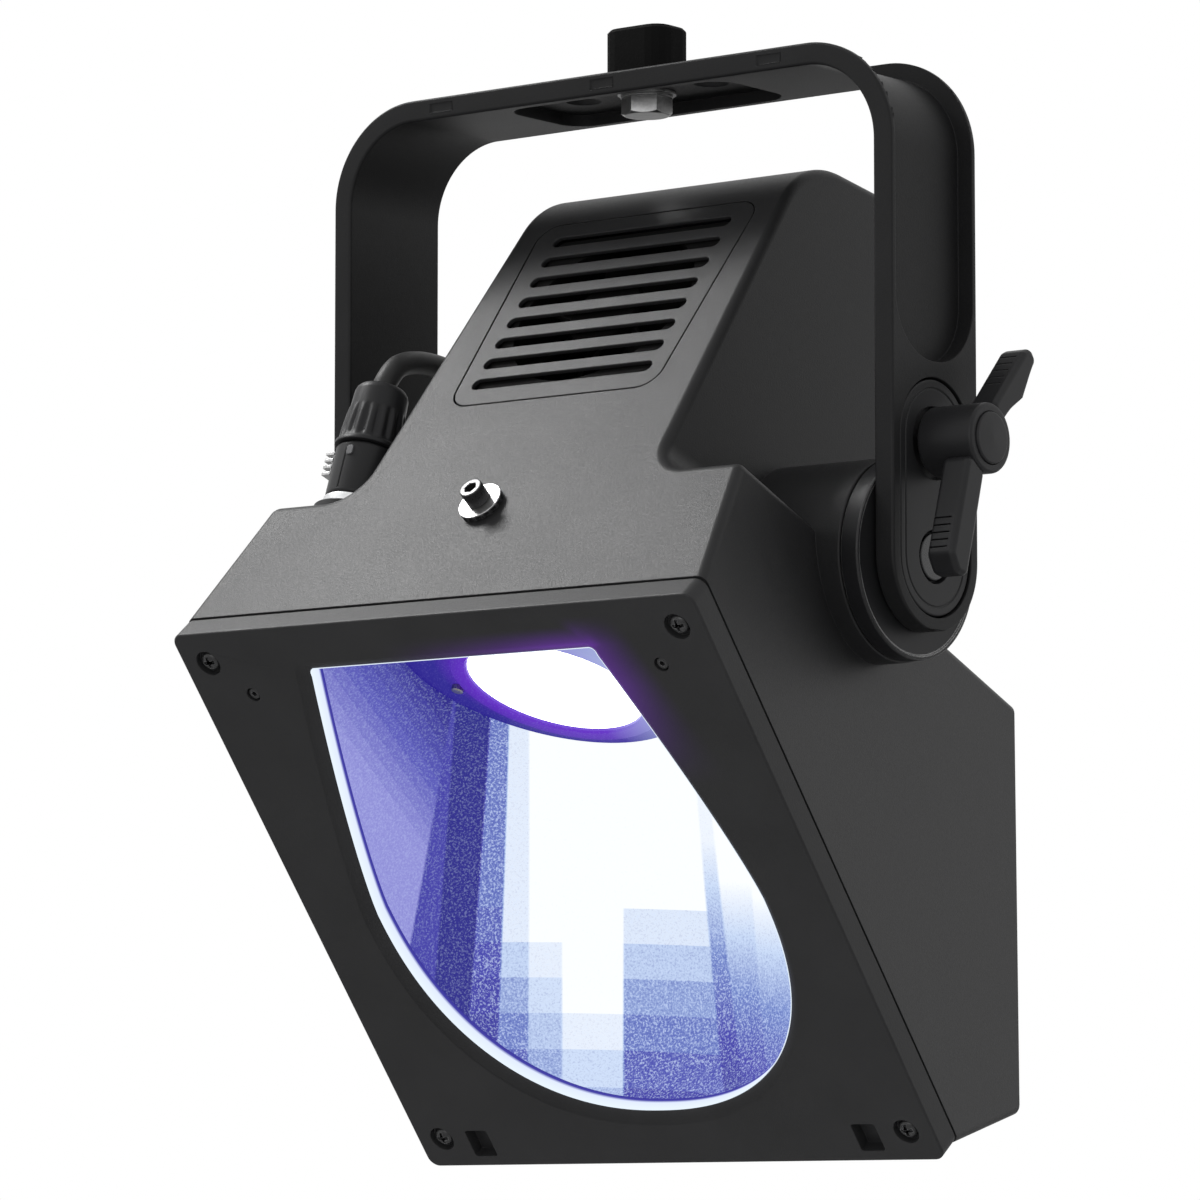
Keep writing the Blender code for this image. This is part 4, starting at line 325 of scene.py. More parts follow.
RIGHT = Vector((1, 0, 0))
FACE_IN = Vector((0, cos(FACE_TILT), sin(FACE_TILT)))
FACE_DOWN = Vector((0, sin(FACE_TILT), -cos(FACE_TILT)))
FACE = axes(RIGHT, FACE_DOWN, FACE_IN, FACE_CENTRE)
SPILL_SIDE = RIGHT * 0.961 - FACE_DOWN * 0.277
FACE_REAR_TOP = FACE @ Vector((0, -BEZEL_H / 2, BEZEL_THICK))
FACE_REAR_LOW = FACE @ Vector((0, BEZEL_H / 2, BEZEL_THICK))
SLOPE_UP = side_direction(SLOPE_RISE)
SLOPE = axes(RIGHT, SLOPE_UP, RIGHT.cross(SLOPE_UP), FACE_REAR_TOP)
SHOULDER = tuple((SLOPE @ Vector((0, SHOULDER_S, 0))).yz)
SLOPE_TOP = tuple((SLOPE @ Vector((0, SLOPE_TOP_S, 0))).yz)
LEDGE_BACK = side_direction(-LEDGE_FALL)
LEDGE = axes(RIGHT, LEDGE_BACK, RIGHT.cross(LEDGE_BACK), (0, *SHOULDER))
BACK_TOP = tuple((LEDGE @ Vector((0, LEDGE_RUN, 0))).yz)
BACK_LOW = tuple((FACE @ Vector((0, BACK_LOW_V, BACK_LOW_DEPTH))).yz)
TOP_CENTRE = (SLOPE_TOP[0] + TOP_ARC_R * sin(SLOPE_RISE), SLOPE_TOP[1] - TOP_ARC_R * cos(SLOPE_RISE))
BOTTOM_RUN = (Vector((0, *BACK_LOW)) - FACE_REAR_LOW).normalized()
LAMP_BACK = side_direction(-LAMP_TILT)
LAMP = axes(RIGHT, LAMP_BACK, RIGHT.cross(LAMP_BACK), (0, LAMP_Y, LAMP_Z))
UPRIGHT = Matrix.Identity(4)
ALONG_X = axes((0, 1, 0), (0, 0, 1), (1, 0, 0), (0, 0, 0))
ALONG_MINUS_X = axes((0, -1, 0), (0, 0, 1), (-1, 0, 0), (0, 0, 0))
REAR = axes((-1, 0, 0), (0, 0, 1), (0, 1, 0), (0, 0, 0))
DROP = Matrix.Translation((0, 0, -TILT_DROP))


def shifted(place, x, y, z=0.0):
    """The same frame moved along its own axes."""
    return place @ Matrix.Translation((x, y, z))


def leg_frame(side):
    """Looks out of one leg: second axis up, third axis away from the lamp."""
    return ALONG_X if side > 0 else ALONG_MINUS_X


# Outlines

def circle(radius, steps=64, centre=(0, 0), start=0.0):
    turn = 2 * pi / steps
    return [
        (centre[0] + radius * cos(start + i * turn), centre[1] + radius * sin(start + i * turn))
        for i in range(steps)
    ]


def arc(centre, radius, first, last, steps):
    """Points along a circular arc, both ends included."""
    return [
        (centre[0] + radius * cos(a), centre[1] + radius * sin(a))
        for a in (first + (last - first) * i / steps for i in range(steps + 1))
    ]


def rounded(x0, x1, y0, y1, radius, steps=8):
    """A rectangle with rounded corners."""
    corners = ((x1, y0, -90), (x1, y1, 0), (x0, y1, 90), (x0, y0, 180))
    points = []
    for x, y, start in corners:
        centre = (x - radius if x == x1 else x + radius, y - radius if y == y1 else y + radius)
        points += arc(centre, radius, radians(start), radians(start + 90), steps)
    return points


def stadium(y0, y1, radius, steps=36):
    """An upright slot outline between two end centres on the second axis."""
    return arc((0, y0), radius, pi, 2 * pi, steps) + arc((0, y1), radius, 0, pi, steps)


def rounded_polygon(corners, radius, steps=8, inset=0.0):
    """A counter-clockwise polygon with its corners rounded, drawn in by an inset smaller than the radius."""
    points = []
    count = len(corners)
    for i, corner in enumerate(corners):
        here = Vector(corner)
        back = (Vector(corners[i - 1]) - here).normalized()
        ahead = (Vector(corners[(i + 1) % count]) - here).normalized()
        half = back.angle(ahead) / 2
        centre = here + (back + ahead).normalized() * radius / sin(half)
        first = here + back * radius / tan(half) - centre
        start = atan2(first.y, first.x)
        points += arc(centre, radius - inset, start, start + pi - 2 * half, steps)
    return points


def radial(reaches):
    """An outline from evenly turned distances to its centre."""
    count = len(reaches)
    turns = [2 * pi * i / count for i in range(count)]
    return [(reach * cos(turn), reach * sin(turn)) for reach, turn in zip(reaches, turns)]


def quarter(edge, steps):
    """The (inset, rise) pairs of a rounded edge, from its full inset to its full rise."""
    turns = [pi / 2 * i / steps for i in range(steps + 1)]
    return [(edge * (1 - sin(turn)), edge * (1 - cos(turn))) for turn in turns]


# Shapes as (points, faces)

def loft(rings, closed_ends=True):
    """Skins rings of equal length, and caps both ends."""
    count = len(rings[0])
    points = [Vector(p) for ring in rings for p in ring]
    faces = []
    for k in range(len(rings) - 1):
        for i in range(count):
            j = (i + 1) % count
            low = k * count
            faces.append((low + i, low + j, low + count + j, low + count + i))
    if closed_ends:
        faces.append(tuple(reversed(range(count))))
        faces.append(tuple(range((len(rings) - 1) * count, len(rings) * count)))
    return points, faces


def rings_of(levels, place):
    return [[place @ Vector((x, y, level)) for x, y in outline] for outline, level in levels]


def stack(levels, place=UPRIGHT):
    """Outlines at rising levels, skinned into one solid."""
    return loft(rings_of(levels, place))


def band(levels, place=UPRIGHT):
    """Outlines at levels, skinned round and back to the first."""
    rings = rings_of(levels, place)
    return loft(rings + [rings[0]], closed_ends=False)


def prism(outline, low, high, place=UPRIGHT):
    return stack([(outline, low), (outline, high)], place)


def turned(profile, place=UPRIGHT, steps=72):
    """A solid of revolution about the frame's third axis, from (radius, level) pairs, open radii only."""
    return stack([(circle(radius, steps), level) for radius, level in profile], place)


def collar(profile, place=UPRIGHT, steps=96):
    """A ring: a closed (radius, level) profile turned about the frame's third axis."""
    return band([(circle(radius, steps), level) for radius, level in profile], place)


def box(x0, x1, y0, y1, z0, z1, place=UPRIGHT):
    return prism([(x0, y0), (x1, y0), (x1, y1), (x0, y1)], z0, z1, place)


def eased(profile, edge, steps=3):
    """A (radius, level) profile with its convex corners rounded by an edge radius."""
    made = [profile[0]]
    for before, here, after in zip(profile, profile[1:], profile[2:]):
        a = Vector(before) - Vector(here)
        b = Vector(after) - Vector(here)
        reach = min(edge, a.length * 0.45, b.length * 0.45)
        start = Vector(here) + a.normalized() * reach
        end = Vector(here) + b.normalized() * reach
        for i in range(steps + 1):
            t = i / steps
            made.append(tuple(start * (1 - t) ** 2 + Vector(here) * 2 * t * (1 - t) + end * t * t))
    made.append(profile[-1])
    return made


# Objects

def build_object(name, shapes):
    """An object of all the shapes, with outward faces."""
    made = bmesh.new()
    for points, faces in shapes:
        verts = [made.verts.new(p) for p in points]
        for face in faces:
            made.faces.new([verts[i] for i in face])
    bmesh.ops.remove_doubles(made, verts=made.verts, dist=1e-7)
    bmesh.ops.recalc_face_normals(made, faces=made.faces)
    mesh = bpy.data.meshes.new(name)
    made.to_mesh(mesh)
    made.free()
    mesh.transform(DROP)
    thing = bpy.data.objects.new(name, mesh)
    bpy.context.scene.collection.objects.link(thing)
    return thing


def mark_front_edges(thing, angle, back):
    """Marks the sharp outer edges that start ahead of a depth, for rounding."""
    made = bmesh.new()
    made.from_mesh(thing.data)
    layer = made.edges.layers.float.new("bevel_weight_edge")
    for edge in made.edges:
        sharp = edge.calc_face_angle(0) > radians(angle)
        edge[layer] = float(sharp and edge.is_convex and min(v.co.y for v in edge.verts) < back)
    made.to_mesh(thing.data)
    made.free()


def add_bevel(thing, width, segments, clamp, limit="ANGLE"):
    step = thing.modifiers.new("edges", "BEVEL")
    step.width = width
    step.segments = segments
    step.limit_method = limit
    step.angle_limit = radians(BEVEL_ANGLE)
    step.use_clamp_overlap = clamp


def settle(thing):
    """Turns an object's modifiers into its mesh."""
    bpy.context.view_layer.update()
    seen = thing.evaluated_get(bpy.context.evaluated_depsgraph_get())
    mesh = bpy.data.meshes.new_from_object(seen)
    thing.modifiers.clear()
    thing.data = mesh


def solid(name, shapes, steps=(), edge=0.0, segments=2, early=0.0, sharp=40):
    """A finished object: shapes, (operation, shapes) steps, rounding before or after them, and shading."""
    thing = build_object(name, shapes)
    tools = []
    if early:
        mark_front_edges(thing, EARLY_ANGLE, HOUSING_EDGE_BACK)
        add_bevel(thing, early, 6, False, "WEIGHT")
    for operation, tool_shapes in steps:
        tool = build_object(f"{name}_tool_{len(tools)}", tool_shapes)
        tools.append(tool)
        step = thing.modifiers.new("step", "BOOLEAN")
        step.operation = operation
        step.solver = "EXACT"
        step.object = tool
    if edge:
        add_bevel(thing, edge, segments, not steps)
    settle(thing)
    for tool in tools:
        bpy.data.objects.remove(tool, do_unlink=True)
    thing.data.shade_smooth()
    thing.data.set_sharp_from_angle(angle=radians(sharp))
    step = thing.modifiers.new("normals", "WEIGHTED_NORMAL")
    step.keep_sharp = True
    return thing


def cut(*shapes):
    """A step that takes shapes away."""
    return "DIFFERENCE", shapes


def join(*shapes):
    """A step that adds shapes."""
    return "UNION", shapes


def give(thing, body, slot, material, *nodes):
    """Puts a piece on its body, with its finish and the nodes it stands for."""
    thing.data.materials.clear()
    thing.data.materials.append(material)
    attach(thing, body)
    if nodes:
        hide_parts(*nodes)
    return thing


# Materials

class Value:
    """A node's output, from which further nodes are made by plain arithmetic."""

    def __init__(self, tree, socket):
        self.tree = tree
        self.socket = socket

    def node(self, kind, operation, first, second, output=0):
        made = self.tree.nodes.new(kind)
        made.operation = operation
        for target, value in zip(made.inputs, (first, second)):
            feed(self.tree, target, value)
        return Value(self.tree, made.outputs[output])

    def math(self, operation, other=0.0):
        return self.node("ShaderNodeMath", operation, self, other)

    def vector(self, operation, other):
        return self.node("ShaderNodeVectorMath", operation, self, other, "Value")

    def __add__(self, other):
        return self.math("ADD", other)

    def __sub__(self, other):
        return self.math("SUBTRACT", other)

    def __rsub__(self, other):
        return self.node("ShaderNodeMath", "SUBTRACT", other, self)

    def __mul__(self, other):
        return self.math("MULTIPLY", other)

    def __truediv__(self, other):
        return self.math("DIVIDE", other)

    def spread(self, low, high, to_low=0.0, to_high=1.0):
        """Maps a range to another, clamped."""
        return output_of(self.tree, "ShaderNodeMapRange", "Result", Value=self, From_Min=low, From_Max=high,
                         To_Min=to_low, To_Max=to_high)

    def noise(self, scale, detail=2.0, rough=0.5):
        return output_of(self.tree, "ShaderNodeTexNoise", "Fac", Vector=self, Scale=scale, Detail=detail,
                         Roughness=rough)

    def along(self, direction, start=0.0):
        """How far this point lies along a direction, past a starting value."""
        return self.vector("DOT_PRODUCT", tuple(direction)) - start

    def stops(self, colours):
        """A colour from this number, through (value, colour) stops."""
        ramp = new_node(self.tree, "ShaderNodeValToRGB", Fac=self)
        points = ramp.color_ramp.elements
        while len(points) < len(colours):
            points.new(0.5)
        for point, (at, colour) in zip(points, colours):
            point.position = at
            point.color = (*colour, 1)
        return Value(self.tree, ramp.outputs["Color"])

    def mix(self, first, second):
        """A blend of two colours by this share."""
        made = self.tree.nodes.new("ShaderNodeMix")
        made.data_type = "RGBA"
        feed(self.tree, made.inputs["Factor"], self)
        for key, colour in (("A", first), ("B", second)):
            feed(self.tree, made.inputs[key], colour if isinstance(colour, Value) else (*colour, 1))
        return Value(self.tree, made.outputs["Result"])


def feed(tree, target, value):
    """Sets an input, or links it to a node's output."""
    if isinstance(value, Value):
        tree.links.new(value.socket, target)
    else:
        target.default_value = value


def new_node(tree, kind, **inputs):
    made = tree.nodes.new(kind)
    for key, value in inputs.items():
        feed(tree, made.inputs[key.replace("_", " ")], value)
    return made


def output_of(tree, kind, output, **inputs):
    return Value(tree, new_node(tree, kind, **inputs).outputs[output])


def new_material(name, **inputs):
    """A material, its shader with some inputs set, and the point being shaded."""
    made = bpy.data.materials.new(name)
    made.use_nodes = True
    tree = made.node_tree
    shader = tree.nodes["Principled BSDF"]
    for key, value in inputs.items():
        feed(tree, shader.inputs[key.replace("_", " ")], value)
    return made, shader, output_of(tree, "ShaderNodeTexCoord", "Object")


def edge_mask(tree, radius):
    """From 0 on flats to 1 where the surface turns within a short distance, and the softened normal."""
    soft = new_node(tree, "ShaderNodeBevel", Radius=radius)
    soft.samples = 4
    normal = Value(tree, soft.outputs["Normal"])
    true = output_of(tree, "ShaderNodeNewGeometry", "Normal")
    return normal.vector("DOT_PRODUCT", true).spread(0.98, 0.80), normal


def tinted(colour, factor, lift=0.0):
    return tuple(min(c * factor + lift, 1.0) for c in colour)


def surface(name, colour, rough, metal=0.0, grain=1600.0, depth=0.00005, swing=0.07, mottle=0.15, broad=28.0,
            edge=0.0005, worn_and_sheen_colour=None, wear_and_sheen_share=0.5, specular=0.5, stretch=(1, 1, 1)):
    """A finish with grain, uneven gloss, slow colour change and lighter edges, partly wear and partly painted
    highlight.
    """
    made, shader, space = new_material(name, Metallic=metal, Specular_IOR_Level=specular)
    tree = made.node_tree
    mapping = output_of(tree, "ShaderNodeMapping", "Vector", Vector=space, Scale=stretch)
    fine = mapping.noise(grain, 3.0, 0.6)
    slow = space.noise(broad, 4.0, 0.55)
    tone = slow.spread(0.3, 0.7).mix(tinted(colour, 1 - mottle), tinted(colour, 1 + mottle))
    speck = fine.spread(0.35, 0.75, 0.0, 0.35).mix(tone, tinted(colour, SPECK_GAIN))
    # Edges are lightened towards a paler colour: partly wear, partly a painted highlight
    mask, soft_normal = edge_mask(tree, edge)
    share = mask * slow.spread(0.35, 0.65, wear_and_sheen_share * WEAR_AND_SHEEN_LEAST, wear_and_sheen_share)
    drift = swing * GLOSS_DRIFT
    gloss = fine.spread(0.3, 0.7, rough - swing, rough + swing) + slow.spread(0.3, 0.7, -drift, drift)
    bump = output_of(tree, "ShaderNodeBump", "Normal", Height=fine, Normal=soft_normal, Strength=1.0,
                     Distance=depth)
    feed(tree, shader.inputs["Base Color"], share.mix(speck, worn_and_sheen_colour or tinted(colour, WEAR_AND_SHEEN_GAIN, WEAR_AND_SHEEN_LIFT)))
    feed(tree, shader.inputs["Roughness"], gloss)
    feed(tree, shader.inputs["Normal"], bump)
    return made


def coat(name, level=0.022, specular=0.22):
    """Black textured coat of the castings."""
    return surface(name, (level, level, level * 1.04), 0.46, grain=1500, depth=0.00007, specular=specular)


def bezel_material():
    """The same coat, with the lamp's violet light painted as a glow round the top of the window."""
    made = coat("bezel_coat")
    tree = made.node_tree
    shader = tree.nodes["Principled BSDF"]
    space = output_of(tree, "ShaderNodeTexCoord", "Object")
    corner = DROP @ FACE @ Vector(SPILL_CORNER)
    right = space.along(RIGHT, corner.x)
    down = space.along(FACE_DOWN, corner.dot(FACE_DOWN))
    aside = space.along(SPILL_SIDE, corner.dot(SPILL_SIDE))
    over = down.math("ABSOLUTE").spread(0.0, SPILL_OVER, 1.0, 0.0)
    over = over * right.spread(*SPILL_FROM) * right.spread(*SPILL_TO, 1.0, 0.0)
    beside = aside.spread(*SPILL_ASIDE, 1.0, 0.0) * down.spread(*SPILL_DOWN)
    beside = beside * down.spread(*SPILL_UP) * aside.spread(*SPILL_INSIDE)
    # Painted light: the lamp's violet glow on the bezel, given off as emission
    glow = over.math("MAXIMUM", beside).math("POWER", SPILL_FALL)
    feed(tree, shader.inputs["Emission Color"], glow.mix((0, 0, 0), srgb(86, 24, 140)))
    shader.inputs["Emission Strength"].default_value = SPILL_STRENGTH
    return made


def glow_material(name, paint, strength=1.0, rough=0.5):
    """A surface that gives off its colour as light: the lamp's own lens, or a surface with the lamp's light
    painted on it; it still has some gloss.
    """
    made, shader, space = new_material(name, Base_Color=(0.02, 0.02, 0.05, 1), Roughness=rough,
                                       Specular_IOR_Level=0.05, Emission_Strength=strength)
    feed(made.node_tree, shader.inputs["Emission Color"], paint(space))
    return made


def ceiling_painted_light(space):
    """Painted lamp light: a violet glow beside the lens, deep blue further out, pale towards the right, with
    glints.
    """
    away = space.vector("DISTANCE", tuple(DROP @ LAMP.translation))
    base = away.spread(LENS_R, LENS_R + 0.016, 1.0, 0.0).mix(srgb(40, 30, 138), srgb(96, 34, 190))
    pale = space.along(RIGHT).spread(0.000, 0.050).mix(base, srgb(176, 190, 226))
    return space.noise(1500).spread(0.55, 0.75, 0.0, 0.25).mix(pale, srgb(150, 140, 230))


def lens_colour(space):
    away = space.vector("DISTANCE", tuple(DROP @ LAMP.translation))
    return away.spread(0.0, LENS_R).mix((1, 1, 1), srgb(248, 246, 255))


def past_line(across, down, edge, lean):
    """1 to the right of a leaning line down the bowl, 0 to its left."""
    return (across - down * lean).spread(edge - 0.0005, edge + 0.0005)


def bowl_painted_light(space):
    """Painted lamp light: strips down the bowl dimmed row by row, violet bands on the left wall, glints on
    hammered grain.

    They are fixed to the part, and run along the directions right and up in the photograph.
    """
    across = space.along(CAMERA_RIGHT)
    down = space.along([-c for c in CAMERA_UP], BOWL_TOP)
    tone = BOWL_DARK_TONE
    for edge, lean, first, drop, top in BOWL_STRIPS:
        row = (down - first) / BOWL_ROW
        if lean < BOWL_SMOOTH_LEAN:
            row = row.math("CEIL")
        level = top - row.math("MAXIMUM") * drop
        tone = past_line(across, down, edge, lean) * (level - tone) + tone
    band_number = ((down - (across + WALL_BAND_FROM) * WALL_BAND_LEAN) / WALL_BAND).math("CEIL")
    wall = (band_number * WALL_BAND_STEP + WALL_BAND_TONE).stops(WALL_TONES)
    wall = past_line(across, down, *WALL_LINES[0]).mix(wall, srgb(66, 62, 162))
    colour = past_line(across, down, *WALL_LINES[1]).mix(wall, tone.stops(BLUE_TO_WHITE))
    # Painted glints and painted dark spots over the hammered grain
    weight = (tone * (1.0 - tone)).math("MAXIMUM") * HAMMERED_GLINT_SHARE + HAMMERED_GLINT_LEAST
    grain = space.noise(1100, 3.0, 0.7)
    light = grain.spread(0.50, 0.62) * weight
    dark = grain.spread(0.48, 0.36, 0.0, 0.6) * weight
    return dark.mix(light.mix(colour, srgb(208, 224, 252)), srgb(50, 50, 156))


def rim_painted_light(space):
    """Painted light: white near the window's bevel, with a blue line of painted shade where the bowl begins.
    """
    depth = space.along(FACE_IN, (DROP @ FACE.translation).dot(FACE_IN))
    return depth.spread(WINDOW_BEVEL_DEPTH, BEZEL_THICK).stops(RIM_TONES)


# Yoke

BAR_HALF = YOKE_INNER_X - YOKE_BEND_R
BEND_LENGTH = YOKE_BEND_R * pi / 2
LEG_TOP_Z = YOKE_BAR_Z - YOKE_BEND_R
BAR_TOP_Z = YOKE_BAR_Z + YOKE_THICK
END_STEP = 3.8


def strap_point(along, out):
    """A point of the bent strap, from a distance along its inner face and a height above that face."""
    side = 1 if along >= 0 else -1
    far = abs(along)
    if far <= BAR_HALF:
        return side * far, YOKE_BAR_Z + out
    if far <= BAR_HALF + BEND_LENGTH:
        turn = (far - BAR_HALF) / YOKE_BEND_R
        reach = YOKE_BEND_R + out
        return side * (BAR_HALF + reach * sin(turn)), LEG_TOP_Z + reach * cos(turn)
    return side * (YOKE_INNER_X + out), LEG_TOP_Z - (far - BAR_HALF - BEND_LENGTH)


def leg_along(z):
    return BAR_HALF + BEND_LENGTH + LEG_TOP_Z - z


def strap(stations, low, high, edge=0.0, steps=3):
    """A length of strap between two heights above its inner face, with rounded long edges."""
    rings = []
    for along, half in stations:
        if edge:
            section = rounded(-half, half, low, high, min(edge, half * 0.9), steps)
        else:
            section = [(-half, low), (half, low), (half, high), (-half, high)]
        bent = [(y, strap_point(along, out)) for y, out in section]
        rings.append([(x, y, z) for y, (x, z) in bent])
    return loft(rings)


def bend_stations(half, steps=28):
    return [(BAR_HALF + BEND_LENGTH * i / steps, half) for i in range(steps + 1)]


def yoke_outline():
    half = YOKE_DEPTH / 2
    end = []
    for i in range(1, 24):
        turn = radians(90 - END_STEP * i)
        end.append((leg_along(-half * cos(turn)), half * sin(turn)))
    right = [(BAR_HALF / 2, half)] + bend_stations(half) + [(leg_along(0), half)] + end
    return [(-along, width) for along, width in reversed(right)] + right


def leg_recess(side):
    """The channel on the outer face of one leg, its bend and the end of the bar."""
    half = YOKE_DEPTH / 2 - YOKE_RIM
    end = leg_along(RECESS_LEG_Z)
    stations = []
    for i in range(10):
        turn = radians(90 * i / 9)
        inset = RECESS_BAR_R * (1 - sin(turn))
        stations.append((RECESS_BAR_X + RECESS_BAR_R * (1 - cos(turn)), half - inset))
    stations += bend_stations(half)
    for i in range(16):
        turn = radians(90 * i / 15)
        inset = RECESS_END_R * (1 - cos(turn))
        stations.append((end - RECESS_END_R * (1 - sin(turn)), half - inset))
    signed = [(side * along, width) for along, width in stations]
    return strap(signed, YOKE_WEB, YOKE_THICK + 0.004)


def yoke(coat):
    outer = YOKE_INNER_X + YOKE_THICK
    pocket = rounded(-POCKET_HALF_X, POCKET_HALF_X, -POCKET_HALF_Y, POCKET_HALF_Y, POCKET_CORNER_R)
    holes = [turned([(PAN_BOLT_R + 0.0001, YOKE_BAR_Z), (PAN_BOLT_R + 0.0001, BAR_TOP_Z + 0.005)])]
    for side in (-1, 1):
        ring = circle(BAR_HOLE_R, 48, (side * BAR_HOLE_X, 0))
        holes.append(prism(ring, YOKE_BAR_Z, BAR_TOP_Z + 0.005))
        sink = stadium(0, PLATE_SPAN_Z, PLATE_R + PLATE_GROOVE)
        holes.append(prism(sink, outer - PLATE_THICK - PLATE_SUNK - GAP, outer + 0.005, leg_frame(side)))
    marks = []
    for x in NOTCH_X:
        half = NOTCH_LENGTH / 2
        y = -YOKE_DEPTH / 2
        marks.append(box(x - half, x + half, y - 0.003, y + NOTCH_DEPTH,
                         NOTCH_Z - NOTCH_HEIGHT / 2, NOTCH_Z + NOTCH_HEIGHT / 2))
    made = solid("yoke_strap", [strap(yoke_outline(), 0, YOKE_THICK, YOKE_EDGE)], [
        cut(prism(pocket, YOKE_BAR_Z - 0.005, POCKET_FLOOR_Z)), cut(leg_recess(1), leg_recess(-1)),
        cut(*holes), cut(*marks),
    ], edge=0.0004)
    give(made, "yoke_frame", "black_coat", coat, "yoke")


def oval_plates(plastic, steel):
    for side, word in SIDES:
        outer = YOKE_INNER_X + YOKE_THICK - PLATE_SUNK
        low = outer - PLATE_THICK
        place = leg_frame(side)
        levels = [(stadium(0, PLATE_SPAN_Z, PLATE_R), low)]
        for inset, rise in reversed(quarter(PLATE_EDGE, 4)):
            levels.append((stadium(0, PLATE_SPAN_Z, PLATE_R - inset), outer - rise))
        wells = [prism(circle(PLATE_BOLT_WELL_R), low + PLATE_WELL_FLOOR, outer + 0.003, place)]
        if side > 0:
            hub = circle(PLATE_HUB_WELL_R, 64, (0, LEVER_Z))
            wells.append(prism(hub, low + PLATE_WELL_FLOOR, outer + 0.003, place))
        outside, inside = (stadium(0, PLATE_SPAN_Z, PLATE_R - inset) for inset in PLATE_LINE)
        floor_level = outer - PLATE_LINE_DEPTH
        line = band([(outside, outer + 0.001), (outside, floor_level), (inside, floor_level),
                     (inside, outer + 0.001)], place)
        made = solid(f"oval_plate_{word}", [stack(levels, place)], [cut(*wells), cut(line)], edge=0.00025)
        give(made, "yoke_frame", "black_plastic", plastic, f"pivot_plate_{word}")
        base = low + PLATE_WELL_FLOOR + 0.0001
        profile = eased([(radius, base + level) for radius, level in PIVOT_HEAD], 0.0006)
        bolt = solid(f"pivot_bolt_head_{word}", [turned(profile, place)], sharp=50)
        give(bolt, "yoke_frame", "steel", steel, f"pivot_bolt_{word}")


def friction_discs(disc):
    for side, word in SIDES:
        low = DISC_INNER_X
        high = YOKE_INNER_X - 0.0005
        bore = PIVOT_R + 0.0001
        profile = [
            (bore, low), (DISC_R - 0.0006, low), (DISC_R, low + 0.0006), (DISC_R, high - 0.0007),
            (DISC_R - 0.0002, high - 0.0002), (DISC_R - 0.0007, high), (DISC_R - 0.0017, high),
            (DISC_R - 0.0022, high - 0.0006), (bore, high - 0.0006),
        ]
        made = solid(f"brake_disc_{word}", [collar(profile, leg_frame(side), 128)], sharp=50)
        give(made, "head", "bare_aluminium", disc, f"friction_disc_{word}")


# Tilt lever

UPPER_WING = (
    (0.0030, 0.0600), (0.0100, 0.0530), (0.0220, 0.0670), (0.0350, 0.0815), (0.0310, 0.0870),
    (0.0262, 0.0850),
)
LOWER_WING = (
    (-0.0140, 0.0400), (-0.0268, -0.0025), (-0.0225, -0.0100), (-0.0155, -0.0115), (-0.0095, 0.0090),
    (-0.0030, 0.0320),
)


def wing(corners):
    """One arm of the lever, rounded along both sides."""
    edges = quarter(WING_EDGE, 6)
    outlines = [rounded_polygon(corners, WING_CORNER_R, 8, inset) for inset, rise in edges]
    rises = [rise for inset, rise in edges]
    levels = [(outline, LEVER_WING_X + rise) for outline, rise in zip(outlines, rises)]
    top = LEVER_OUTER_X - WING_SUNK
    levels += [(outline, top - rise) for outline, rise in zip(outlines[::-1], rises[::-1])]
    return stack(levels, ALONG_X)


def wing_grooves(tip, root, first, pitch):
    """The grip lines across one arm's front side, counted from its tip."""
    run = (Vector(root) - Vector(tip)).normalized()
    out = (run.y, -run.x, 0) if tip[1] < 0 else (-run.y, run.x, 0)
    place = ALONG_X @ axes((*run, 0), out, (0, 0, 1), (*tip, 0))
    cuts = []
    for i in range(WING_GROOVES):
        at = first + pitch * i
        cuts.append(box(at - WING_GROOVE_HALF, at + WING_GROOVE_HALF, -WING_GROOVE_DEPTH, 0.003,
                        LEVER_WING_X - 0.001, LEVER_OUTER_X - WING_GROOVE_SHORT, place))
    return cuts


def tilt_lever(plastic):
    middle = shifted(ALONG_X, 0, LEVER_Z)
    hub = turned(eased([
        (LEVER_HUB_R - 0.0008, LEVER_INNER_X), (LEVER_HUB_R, LEVER_INNER_X + 0.0008),
        (LEVER_HUB_R, LEVER_OUTER_X), (LEVER_CAP_R, LEVER_OUTER_X),
    ], 0.0016, 4), middle)
    grooves = wing_grooves(UPPER_WING[-1], UPPER_WING[0], *UPPER_GROOVES)
    grooves += wing_grooves(LOWER_WING[1], LOWER_WING[0], *LOWER_GROOVES)
    well = prism(circle(LEVER_CAP_R + GAP), LEVER_OUTER_X - 0.003, LEVER_OUTER_X + 0.003, middle)
    steps = [join(wing(UPPER_WING)), join(wing(LOWER_WING)), cut(*grooves), cut(well)]
    made = solid("clamp_lever", [hub], steps, sharp=35)
    give(made, "lever", "black_plastic", plastic, "tilt_lever")
    low = LEVER_OUTER_X - 0.0029
    high = LEVER_OUTER_X + LEVER_CAP_PROUD
    cap = turned(eased([(LEVER_CAP_R, low), (LEVER_CAP_R, high), (0.0002, high + 0.0004)], 0.0008, 4), middle)
    made = solid("lever_dome_cap", [cap], sharp=50)
    give(made, "lever", "black_plastic", plastic, "lever_cap")


# Bezel

